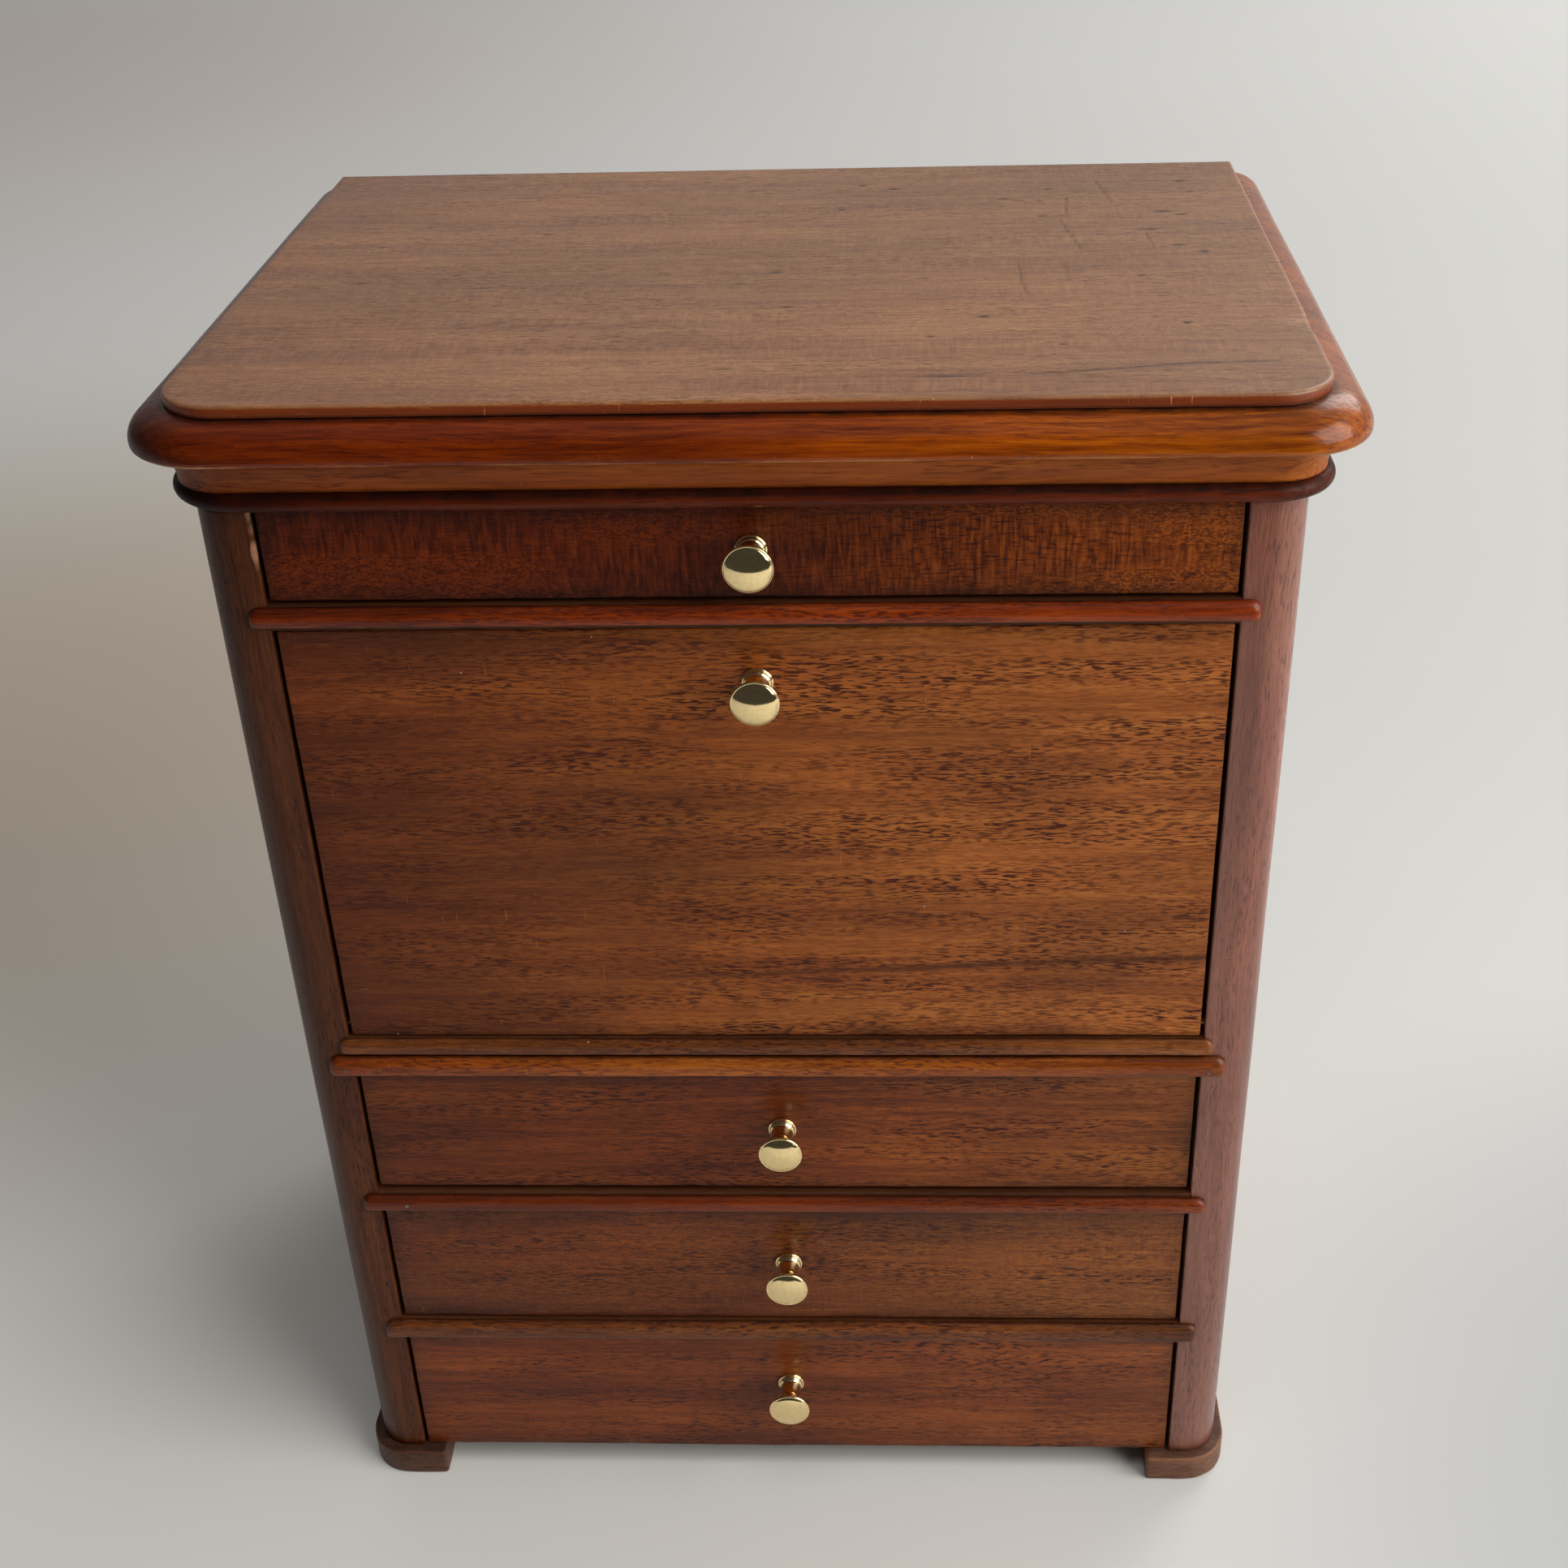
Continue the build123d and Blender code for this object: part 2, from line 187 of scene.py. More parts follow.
# ---------------------------------------------------------------- mouldings round three sides
def outline(half_w, front_y, radii, step):
    """Points and outward directions round a board's left side, front and right side."""
    pts = []

    def run(a, b, n):
        count = max(1, round((Vector(b) - Vector(a)).length / step))
        for i in range(count):
            t = i / count
            pts.append((a[0] + (b[0] - a[0]) * t, a[1] + (b[1] - a[1]) * t, n[0], n[1]))

    def turn(cx, cy, r, start, end):
        count = max(4, round(abs(end - start) * r / (step * 0.5)))
        for i in range(count):
            a = start + (end - start) * i / count
            pts.append((cx + r * math.cos(a), cy + r * math.sin(a), math.cos(a), math.sin(a)))

    rl, rr = radii
    run((-half_w, BACK), (-half_w, front_y + rl), (-1, 0))
    turn(-half_w + rl, front_y + rl, rl, math.pi, 1.5 * math.pi)
    run((-half_w + rl, front_y), (half_w - rr, front_y), (0, -1))
    turn(half_w - rr, front_y + rr, rr, 1.5 * math.pi, 2 * math.pi)
    run((half_w, front_y + rr), (half_w, BACK), (1, 0))
    pts.append((half_w, BACK, 1, 0))
    return pts


def moulding_piece(name, node, mat, half_w, front_y, radii, section, warp=0.1, seed=1.0, painted_shade=None):
    """A board whose edge follows a section round three sides. The section runs from the upper inner
    edge to the lower inner edge as (out, height, wear, shade), shade being painted shade in joints and under
    overhangs."""
    path = outline(half_w, front_y, radii, 1.6)
    verts, wear, dirt_and_shade, faces = [], [], [], []
    rows = len(section)
    for x, y, nx, ny in path:
        sway = warp * rough_noise((x, y, 0), 0.02, seed)
        lift = warp * 0.7 * rough_noise((x, y, 9), 0.03, seed + 2)
        for out, z, w, g in section:
            o = out + sway + warp * 0.5 * rough_noise((x, y, z), 0.09, seed + 4)
            p = Vector((x + nx * o, y + ny * o, z + lift))
            verts.append(p)
            wear.append(w * (0.75 + 0.6 * rough_noise((x, y, z), 0.05, seed + 6)))
            dirt_and_shade.append(max(g, painted_shade(p)) if painted_shade else g)
    count = len(path)
    for i in range(count - 1):
        for j in range(rows - 1):
            a, b = i * rows + j, (i + 1) * rows + j
            faces.append((a, a + 1, b + 1, b))
    faces.append([i * rows for i in range(count)])
    faces.append([i * rows + rows - 1 for i in reversed(range(count))])
    faces.append([j for j in reversed(range(rows))] + [(count - 1) * rows + j for j in range(rows)])
    return piece(name, verts, faces, mat, "case", [node], wear, dirt_and_shade)


def end_painted_shade(p):
    """Painted shade toward the left end of the mouldings and just at the right corner."""
    left = smooth01(-p.x, 95, 132) * 0.85
    right = smooth01(p.x, 120, 134) * 0.8
    return left + right


def panel_gap(p):
    """How far a point lies outside the top panel's outline."""
    dx = abs(p.x) - (panel_high.x - PANEL_CORNER_R)
    dy = (panel_low.y + PANEL_CORNER_R) - p.y
    if dx > 0 and dy > 0:
        return math.hypot(dx, dy) - PANEL_CORNER_R
    return max(dx, dy) - PANEL_CORNER_R


def crown_painted_shade(p):
    """Painted shade at the crown's left end and painted shadow in the groove under the top panel."""
    end = 0.7 * smooth01(-p.x, 128, 146) * (1 - smooth01(p.y, -80, -40))
    if p.z < crown_high.z - 5:
        return end
    gap = panel_gap(p)
    corner = smooth01(abs(p.x), 118, 132) * (1 - smooth01(p.y, -84, -70))
    return max(end, (0.95 - 0.1 * corner) * (1 - smooth01(gap, 0.2, 1.3 + 2.0 * corner)))


def crown_piece(mat):
    """The crown board: a quarter round over a narrow lip."""
    roll_w, roll_h, lip = 11.3, 8.3, 360.8
    root = -24.0
    section = [(root, crown_high.z, 0, 0.9), (-roll_w - 0.6, crown_high.z, 0, 0.9)]
    for i in range(19):
        a = math.radians(90 - 90 * i / 18)
        section.append((-roll_w + roll_w * math.cos(a), lip + roll_h * math.sin(a), 0.1, 0))
    section += [(-0.02, 360.2, 0.25, 0), (-0.15, 359.75, 0.9, 0), (-0.45, 359.4, 1.0, 0)]
    section += [(-0.9, crown_low.z, 0.5, 0.2), (root, crown_low.z, 0, 0.9)]
    moulding_piece("crown_moulding", "crown_board", mat, crown_high.x, crown_low.y, (22.5, 19.5),
                   section, seed=2.0, warp=0.12, painted_shade=crown_painted_shade)


def cove_piece(mat):
    """The cove board: a hollow between two narrow flats."""
    out = cove_high.x - CASE_HALF
    high = cove_high.z
    hollow, rise = 5.0, high - cove_low.z - 2.0
    # the flats under the crown and the top of the hollow get painted shade, as under the crown's nose
    section = [(-6.0, high, 0, 0.9), (-1.0, high, 0, 0.9), (-0.05, high, 0, 0.9)]
    section += [(0.0, high - 0.15, 0.4, 0.6), (0.0, high - 1.0, 0.2, 0.7)]
    for i in range(1, 15):
        a = math.radians(90 * i / 14)
        z = cove_low.z + 1.0 + rise * math.cos(a) ** 1.35
        section.append((-hollow * math.sin(a), z, 0.05, 0.55 * (1 - i / 14) ** 2))
    section += [(-hollow, cove_low.z + 0.5, 0.2, 0.3), (-hollow, cove_low.z, 0, 0.9)]
    section.append((-9.0, cove_low.z, 0, 0.9))
    radii = (POST_R + out + 1.5, POST_R + out)
    moulding_piece("cove_moulding", "cove_board", mat, cove_high.x, cove_low.y, radii, section,
                   seed=5.0, warp=0.08, painted_shade=lambda p: 0.4 * end_painted_shade(p))


def astragal_piece(mat):
    """The astragal board: a round nose that turns in under the board."""
    low, high = astragal_low.z, astragal_high.z
    root, end_deg, steps = -11.0, -75.0, 16
    rho = (high - low) / 2 - 0.05
    mid = (high + low) / 2
    section = [(root, high, 0, 0.9), (-rho - 1.6, high, 0, 0.9), (-rho - 0.6, high, 0, 0.7)]
    # the top of the nose goes near black as painted shade under the cove
    for i in range(steps + 1):
        a = math.radians(90 + (end_deg - 90) * i / steps)
        painted_nose_shade = 0.95 * smooth01(a, 0.15, 0.7)
        section.append((-rho + rho * math.cos(a), mid + rho * math.sin(a), 0.1, painted_nose_shade))
    last_out, last_z = section[-1][:2]
    # the pale line along the lower lip is partly worn edge and partly painted highlight
    section.append((last_out - 0.02, last_z - 0.08, 1.0, 0))
    section.append((last_out - 0.12, low + 0.12, 0.8, 0))
    section.append((last_out - 0.25, low, 0.3, 0.2))
    section.append((root, low, 0, 0.9))
    moulding_piece("astragal_moulding", "astragal_board", mat, astragal_high.x, astragal_low.y,
                   (20.0, 16.5), section, seed=8.0, warp=0.08, painted_shade=end_painted_shade)


# ---------------------------------------------------------------- the top and its marks
# millimetres: a dent is (x, y, length, depth), a scratch or the crack goes from point to point
dents = [
    (68, 65, 2.8, 0.7), (121, 81, 2.4, 0.9), (113, 50, 3.6, 0.9), (107, 33, 4.4, 1.0),
    (114, 18, 2.4, 0.8), (101, -8, 2.0, 1.2), (-5, -74, 2.6, 0.8), (-108, -5, 1.6, 0.8),
]
scatter = random.Random(5)
for _ in range(16):
    dents.append((scatter.uniform(0, 125), scatter.uniform(-82, 92), scatter.uniform(1.2, 2.2), 0.7))
scratches = [
    ((96, 82), (99, 59)), ((86, 65), (85, 48)), ((83, 42), (87, 16)), ((69, 8), (70, -22)),
    ((82, 3), (82, -11)), ((106, 30), (107, 15)), ((133, -49), (139, -50)), ((131, -52), (139, -54)),
]
crack = [(12, -81), (40, -81), (76, -79), (107, -74), (128, -73)]
CHIP_X, CHIP_Y = 139.5, -46.0


def off_stretch(x, y, a, b):
    """How far a point lies from the straight stretch between a and b."""
    dx, dy = b[0] - a[0], b[1] - a[1]
    t = max(0.0, min(1.0, ((x - a[0]) * dx + (y - a[1]) * dy) / (dx * dx + dy * dy)))
    return math.hypot(x - a[0] - dx * t, y - a[1] - dy * t)


def by_stretch(x, y, a, b, margin=2):
    """Whether a point lies within a margin of the box round a stretch."""
    return all(min(a[i], b[i]) - margin < v < max(a[i], b[i]) + margin for i, v in enumerate((x, y)))


def top_surface(x, y):
    """The top's height, dirt and softness at a point."""
    z = -0.06 + 0.05 * rough_noise((x, y, 0), 0.02, 8)
    dirt = 0.0
    for cx, cy, size, deep in dents:
        dx, dy = (x - cx) / size, (y - cy) / 0.85
        if abs(dx) < 1.6 and abs(dy) < 1.6:
            f = math.exp(-2.4 * (dx * dx + dy * dy))
            z -= 0.22 * deep * f
            dirt = max(dirt, min(1.0, 2.4 * f))
    for a, b in scratches:
        if by_stretch(x, y, a, b):
            f = math.exp(-((off_stretch(x, y, a, b) / 0.36) ** 2))
            z -= 0.08 * f
            dirt = max(dirt, 0.65 * f)
    if -88 < y < -66 and x > 8:
        near = min(off_stretch(x, y, a, b) for a, b in zip(crack, crack[1:]))
        f = math.exp(-((near / 0.48) ** 2)) * (0.55 + 0.45 * smooth01(x, 10, 60))
        z -= 0.12 * f
        dirt = max(dirt, 0.95 * f)
    chip = math.exp(-(((x - CHIP_X) / 4.0) ** 2 + ((y - CHIP_Y) / 4.5) ** 2))
    return z - 0.55 * chip, dirt, 0.9 * chip


def top_piece(mat):
    """The top panel: a fine grid over its face, and an edge that rolls over and down."""
    high, low = panel_high.z, panel_low.z
    edge = 0.75
    half_w, front_y, corner_r = panel_high.x - edge, panel_low.y + edge, PANEL_CORNER_R - edge

    # rows from the front to the back, then columns, coarse on the left and fine on the right
    straight = BACK - front_y - corner_r
    count = round(straight / 0.72)
    ys = [front_y + corner_r * (1 - math.cos(math.radians(a))) for a in range(0, 90, 6)]
    ys += [front_y + corner_r + straight * j / count for j in range(count + 1)]
    split, fine = 65 / 70, 206
    ts = [i / 70 for i in range(66)] + [split + (2 - split) * i / fine for i in range(1, fine + 1)]
    cols = len(ts) - 1
    n = len(ys)
    verts, wear, dirt_and_shade, faces = [], [], [], []
    for y in ys:
        depth = corner_r - (y - front_y)
        w = half_w
        if depth > 0:
            w = half_w - corner_r + math.sqrt(max(0.0, corner_r * corner_r - depth * depth))
        for t in ts:
            x = -w + w * t
            dz, dirt, soft = top_surface(x, y)
            verts.append(Vector((x, y, high + dz)))
            dirt_and_shade.append(dirt)
            border = min(w - abs(x), y - front_y)
            wear.append(max(soft, 0.5 * math.exp(-border / 1.2)))
    for j in range(n - 1):
        for i in range(cols):
            a = j * (cols + 1) + i
            faces.append((a, a + 1, a + cols + 2, a + cols + 1))

    # rims round the left side, front and right side, as (out, down, wear, shade); the lowest rows darken as
    # painted shadow under the panel's edge
    ring = [(j * (cols + 1), -1) for j in reversed(range(1, n))]
    ring += [(i, 0) for i in range(cols + 1)]
    ring += [(j * (cols + 1) + cols, 1) for j in range(1, n)]
    section = [
        (0.30, -0.10, 0.9, 0), (0.56, -0.30, 1.0, 0), (0.70, -0.60, 0.6, 0), (0.75, -1.2, 0.1, 0),
        (0.75, -2.2, 0, 0), (0.72, -2.8, 0.2, 0.3), (0.5, low - high, 0, 1.0),
    ]
    rims = [[a for a, s in ring]]
    for out, down, w, g in section:
        rim = []
        for a, s in ring:
            p = verts[a]
            d = Vector((s, 0, 0))
            if p.y < front_y + corner_r:
                cx = math.copysign(half_w - corner_r, p.x)
                d = Vector((0, -1, 0))
                if abs(p.x) > half_w - corner_r:
                    d = Vector((p.x - cx, p.y - (front_y + corner_r), 0))
                d.normalize()
            o = out + 0.1 * rough_noise((p.x, p.y, out), 0.05, 11) * min(1.0, out * 2)
            if s > 0 and p.x > 130:
                o -= 0.9 * math.exp(-(((p.y + 50.5) / 1.6) ** 2))
            z = high + down if down < -2 else p.z + down
            rim.append(len(verts))
            verts.append(Vector((p.x + d.x * o, p.y + d.y * o, z)))
            wear.append(w * (0.8 + 0.5 * rough_noise((p.x, p.y, 0), 0.06, 13)))
            dirt_and_shade.append(g)
        rims.append(rim)
    for upper, lower in zip(rims, rims[1:]):
        for a, b, c, d in zip(upper, upper[1:], lower[1:], lower):
            faces.append((d, c, b, a))
    faces.append(list(rims[-1]))
    back_top = [(n - 1) * (cols + 1) + i for i in range(cols + 1)]
    left_side = [rim[0] for rim in rims]
    right_side = [rim[-1] for rim in rims]
    faces.append(back_top + right_side[1:] + list(reversed(left_side[1:])))
    return piece("top_board", verts, faces, mat, "case", ["top_panel"], wear, dirt_and_shade)


# ---------------------------------------------------------------- posts, beads, feet and knobs
def post_bruise(z):
    """Wear of the left post's inner edge at a height: a chip high up, rubbing beside the flap."""
    bruise = 0.4 * smooth01(z, 317, 321) * (0.7 + 0.8 * rough_noise((0, 0, z), 0.35, 2))
    bruise += 0.5 * math.exp(-(((z - 331) / 2.6) ** 2))
    bruise += 0.15 * smooth01(z, 180, 190) * (0.6 + 0.9 * rough_noise((0, 0, z), 0.12, 5))
    return bruise


def post_section(side, z, depth):
    """A post's outline at a height, as (x, y, wear, shade), from its inner face to its outer one; the inner
    face in the gap and the back get painted shade.
    """
    bruise = post_bruise(z) if side < 0 else 0.0
    r_in = max(0.35, 0.55 + 0.2 * rough_noise((0, 0, z), 0.15, 9) + bruise)
    rubbed = 0.05 + 0.15 * smooth01(z, 170, 185) + 1.1 * min(1.0, bruise)
    rubbed *= 1.0 if side < 0 else 0.4
    sec = [(OPEN_HALF, FRONT + depth, 0, 0), (OPEN_HALF, FRONT + 8, 0, 0.4), (OPEN_HALF, FRONT + 3, 0, 0.3)]
    for i in range(6):
        a = math.radians(180 + 90 * i / 5)
        x = OPEN_HALF + r_in + r_in * math.cos(a)
        sec.append((x, FRONT + r_in * 0.8 + r_in * 0.8 * math.sin(a), rubbed, 0))
    flat_start, flat_end = OPEN_HALF + r_in + 0.6, CASE_HALF - POST_R
    sec += [(OPEN_HALF + r_in + 0.15, FRONT, 0, 0), (flat_start, FRONT, 0, 0)]
    sec += [(flat_start + (flat_end - flat_start) * t, FRONT, 0, 0) for t in (0.35, 0.7)]
    for i in range(15):
        a = math.radians(270 + 90 * i / 14)
        sec.append((flat_end + POST_R * math.cos(a), FRONT + POST_R + POST_R * math.sin(a), 0, 0))
    sec += [(CASE_HALF, FRONT + POST_R + 5, 0, 0), (CASE_HALF, FRONT + depth, 0.1, 0.3)]
    return sec


def post_piece(side, mat):
    """A corner post with a big rounded corner, hand-worn along its inner edge."""
    label = "left" if side < 0 else "right"
    low_z, high_z = post_low.z, post_high.z
    count = 150
    verts, wear, dirt_and_shade, faces = [], [], [], []
    for k in range(count + 1):
        z = low_z + (high_z - low_z) * k / count
        section = post_section(side, z, post_high.y - post_low.y)
        rows = len(section)
        end_wear = 0.35 * math.exp(-(z - low_z) / 1.5)
        # painted shade at the post's top, under the mouldings
        painted_top_shade = 0.5 * math.exp(-(high_z - z) / 1.2)
        for x, y, w, g in section:
            sway = 0.12 * rough_noise((x, y * 0.3, z), 0.018, 3 + side)
            ripple = 0.05 * rough_noise((x, y, z), 0.12, 6 + side)
            px = x + (sway if x > OPEN_HALF + 4 else 0.0)
            py = y - (ripple + sway if y < FRONT + 5 else 0.0)
            verts.append(Vector((side * px, py, z)))
            wear.append(min(1.0, w + end_wear))
            dirt_and_shade.append(g + painted_top_shade)
    for k in range(count):
        for j in range(rows - 1):
            a, b = k * rows + j, (k + 1) * rows + j
            faces.append((a, a + 1, b + 1, b) if side > 0 else (b, b + 1, a + 1, a))
        a, b = k * rows + rows - 1, (k + 1) * rows + rows - 1
        faces.append((a, k * rows, (k + 1) * rows, b) if side > 0 else (b, (k + 1) * rows, k * rows, a))
    bottom, top = list(range(rows)), [count * rows + j for j in range(rows)]
    faces.append(bottom[::-1] if side > 0 else bottom)
    faces.append(top if side > 0 else top[::-1])
    node = f"corner_post_{label}"
    return piece(f"post_{label}", verts, faces, mat, "case", [node], wear, dirt_and_shade)


def bead_section(out, top, bottom, lip):
    """A bead's outline as (out, height, wear, shade): rounded above, a flatter lip below, its top darkened
    as painted shade where it meets the front above.
    """
    tall = top - bottom
    sec = [(0.0, top, 0.2, 0.9), (out * 0.25, top - 0.02 * tall, 0.25, 0.6)]
    for i in range(1, 9):
        a = math.radians(90 - 82 * i / 8)
        z = bottom + tall * lip + (tall * (1 - lip) - 0.02 * tall) * math.sin(a)
        sec.append((out * (0.25 + 0.75 * math.cos(a)), z, 0.15, 0.35 * (1 - i / 8)))
    sec += [(out, bottom + tall * lip * 0.95, 0.5, 0), (out * 0.99, bottom + tall * lip * 0.4, 0.3, 0)]
    sec += [(out * 0.95, bottom + tall * 0.07, 0.8, 0), (out * 0.85, bottom, 0.9, 0.1)]
    sec.append((0.0, bottom, 0, 0.9))
    return sec


def bead_piece(node, mat, seed, end_taper=(1.0, 1.0), lip=0.36):
    """A planted strip with its ends rounded over."""
    low, high = box_mm(node)
    out, tall = high.y - low.y, high.z - low.z
    ease = out * 0.85
    straight = high.x - low.x - 2 * ease
    end_lines = (0.0, 0.06, 0.16, 0.3, 0.5, 0.75, 1.0)
    count = int(straight / 1.5)
    xs = [low.x + ease * t for t in end_lines]
    xs += [low.x + ease + straight * i / count for i in range(1, count)]
    xs += [high.x - ease * t for t in reversed(end_lines)]
    verts, wear, dirt_and_shade, faces = [], [], [], []
    for x in xs:
        e, tilt = 1.0, 0.0
        for near, taper in (((x - low.x) / ease, end_taper[0]), ((high.x - x) / ease, end_taper[1])):
            if near < 1:
                e = math.sqrt(max(0.0, 1 - (1 - near) ** 2))
                tilt = taper * (1 - near)
        o = out * (0.45 + 0.55 * e) * (1 + 0.05 * rough_noise((x, 0, 0), 0.08, seed))
        dz = 0.1 * rough_noise((x, 3, 0), 0.03, seed + 1)
        top = high.z + dz + 0.12 * rough_noise((x, 7, 0), 0.2, seed + 2) - tilt * tall * 0.35 * (1 - e * 0.5)
        bottom = low.z + dz * 0.6 + 0.07 * rough_noise((x, 11, 0), 0.25, seed + 3) + tilt * 0.25 * (1 - e)
        section = bead_section(o, top, bottom, lip)
        rows = len(section)
        for oo, z, w, g in section:
            nick = 0.04 * rough_noise((x, oo, z), 0.5, seed + 4) if oo > 0.5 else 0
            verts.append(Vector((x, high.y - oo - nick, z)))
            wear.append(min(1.0, w * (0.8 + 0.7 * rough_noise((x, z, 0), 0.12, seed + 5)) + 0.5 * (1 - e)))
            dirt_and_shade.append(g)
    for i in range(len(xs) - 1):
        for j in range(rows - 1):
            a, b = i * rows + j, (i + 1) * rows + j
            faces.append((a, a + 1, b + 1, b))
        faces.append((i * rows + rows - 1, i * rows, (i + 1) * rows, (i + 1) * rows + rows - 1))
    faces.append(list(reversed(range(rows))))
    faces.append([(len(xs) - 1) * rows + j for j in range(rows)])
    return piece(node + "_strip", verts, faces, mat, "case", [node], wear, dirt_and_shade)


def foot_outline(low, high, x_in, x_out):
    """A front foot's outline and outward directions: a small inner corner, a big outer one."""
    r, small_r = POST_R + 3.2, 1.2
    base = [(x_in, high.y, 0, 0)]
    base += [(x_in, high.y + (low.y + small_r - high.y) * i / 12, -1, 0) for i in range(13)]
    for i in range(1, 5):
        c, s = math.cos(math.radians(180 + 90 * i / 4)), math.sin(math.radians(180 + 90 * i / 4))
        base.append((x_in + small_r + small_r * c, low.y + small_r + small_r * s, c, s))
    flat = x_out - r - x_in - small_r
    base += [(x_in + small_r + flat * i / 6, low.y, 0, -1) for i in range(1, 7)]
    for i in range(1, 19):
        c, s = math.cos(math.radians(270 + 90 * i / 18)), math.sin(math.radians(270 + 90 * i / 18))
        base.append((x_out - r + r * c, low.y + r + r * s, c, s))
    base += [(x_out, low.y + r + (high.y - low.y - r) * i / 10, 1, 0) for i in range(1, 11)]
    return base


def foot_piece(side, mat):
    """A front foot, rounded like the post above it, with scuffed edges."""
    label = "left" if side < 0 else "right"
    node = f"front_foot_{label}"
    low, high = box_mm(node)
    x_in, x_out = (low.x, high.x) if side > 0 else (-high.x, -low.x)
    base = foot_outline(low, high, x_in, x_out)
    levels = [
        (0.0, 0.7), (0.25, 0.3), (0.7, 0.08), (1.6, 0), (3.2, 0), (5.0, 0),
        (7.0, 0), (8.6, 0), (9.3, 0.08), (9.7, 0.28), (9.93, 0.62), (10.0, 1.1),
    ]
    rows = len(base)
    verts, wear, dirt_and_shade, faces = [], [], [], []
    for z, inset in levels:
        for x, y, nx, ny in base:
            jag = 1 + 0.8 * rough_noise((x, y, z), 0.22, 4 + side)
            o = -inset * jag + 0.07 * rough_noise((x, y, z), 0.16, 7 + side)
            drop = 0.25 * max(0.0, rough_noise((x, y, 0), 0.3, 2 + side)) if z > 9 else 0.0
            level = low.z + z * (high.z - low.z) / 10 - drop
            verts.append(Vector((side * (x + nx * o), y + ny * o, level)))
            wear.append((0.9 if 9.0 < z < 9.9 or z < 0.5 else 0.05) * (1.0 if side > 0 else 0.45))
            # painted shade on the foot's top, under the post
            dirt_and_shade.append(0.6 if z > 9.9 else 0.0)
    for k in range(len(levels) - 1):
        for j in range(rows):
            a, b = k * rows + j, k * rows + (j + 1) % rows
            ring = (a, b, b + rows, a + rows)
            faces.append(ring if side > 0 else ring[::-1])
    bottom, top = list(range(rows)), [(len(levels) - 1) * rows + j for j in range(rows)]
    faces.append(bottom[::-1] if side > 0 else bottom)
    faces.append(top if side > 0 else top[::-1])
    return piece(f"foot_{label}", verts, faces, mat, "case", [node], wear, dirt_and_shade)


def bow(start, end, bulge, count):
    """Points of a shallow bow from start to end, bulging to the right of the way it runs."""
    run = Vector(end) - Vector(start)
    side = Vector((run.y, -run.x)).normalized()
    steps = [i / (count - 1) for i in range(count)]
    return [tuple(Vector(start) + run * t + side * (4 * bulge * t * (1 - t))) for t in steps]


def knob_section():
    """A knob's outline as (radius, distance out from the front): shank, collar, ring, waisted neck,
    flared rim and a set-in domed face."""
    head_r, dome_r, dome_from = 6.35, 5.7, 11.86
    section = [(1.5, -4.9), (1.5, 0.0), (4.05, 0.0), (4.1, 0.15), (4.1, 0.75), (4.0, 0.95), (3.75, 1.02)]
    section += bow((3.62, 1.1), (3.2, 2.0), 0.2, 5)
    section += bow((3.02, 2.25), (2.5, 5.5), -0.12, 5)
    section += bow((2.5, 5.5), (5.6, 10.3), -0.62, 12)[1:]
    section += [(5.72, 10.5), (5.76, 10.75)]
    section += bow((6.0, 10.85), (head_r - 0.3, 11.84), 0.3, 8)
    section += bow((5.95, 11.8), (dome_r, dome_from), -0.07, 4)
    rise = KNOB_REACH - dome_from
    ball = (dome_r ** 2 + rise ** 2) / (2 * rise)
    for i in range(1, 9):
        r = dome_r * (1 - i / 8.6)
        section.append((r, KNOB_REACH - ball + math.sqrt(ball ** 2 - r ** 2)))
    return section


def knob_piece(node, mat, body):
    """A turned knob, its axis through the middle of its CAD box."""
    low, high = box_mm(node)
    hub = Vector(((low.x + high.x) / 2, high.y - KNOB_SHANK, (low.z + high.z) / 2))
    k = (hub.y - low.y) / KNOB_REACH
    section = knob_section()
    segs = 72
    verts, faces = [], []
    for r, y in section:
        for i in range(segs):
            a = 2 * math.pi * i / segs
            wob = 1 + 0.002 * math.sin(3 * a + y)
            verts.append(hub + Vector((r * wob * math.cos(a), -y * k, r * wob * math.sin(a))))
    rows = len(section)
    for j in range(rows - 1):
        for i in range(segs):
            a, b = j * segs + i, j * segs + (i + 1) % segs
            faces.append((a, b, b + segs, a + segs))
    faces.append(list(reversed(range(segs))))
    pole = len(verts)
    verts.append(hub + Vector((0, -KNOB_REACH * k, 0)))
    for i in range(segs):
        faces.append(((rows - 1) * segs + i, (rows - 1) * segs + (i + 1) % segs, pole))
    return piece(node + "_turned", verts, faces, mat, body, [node])


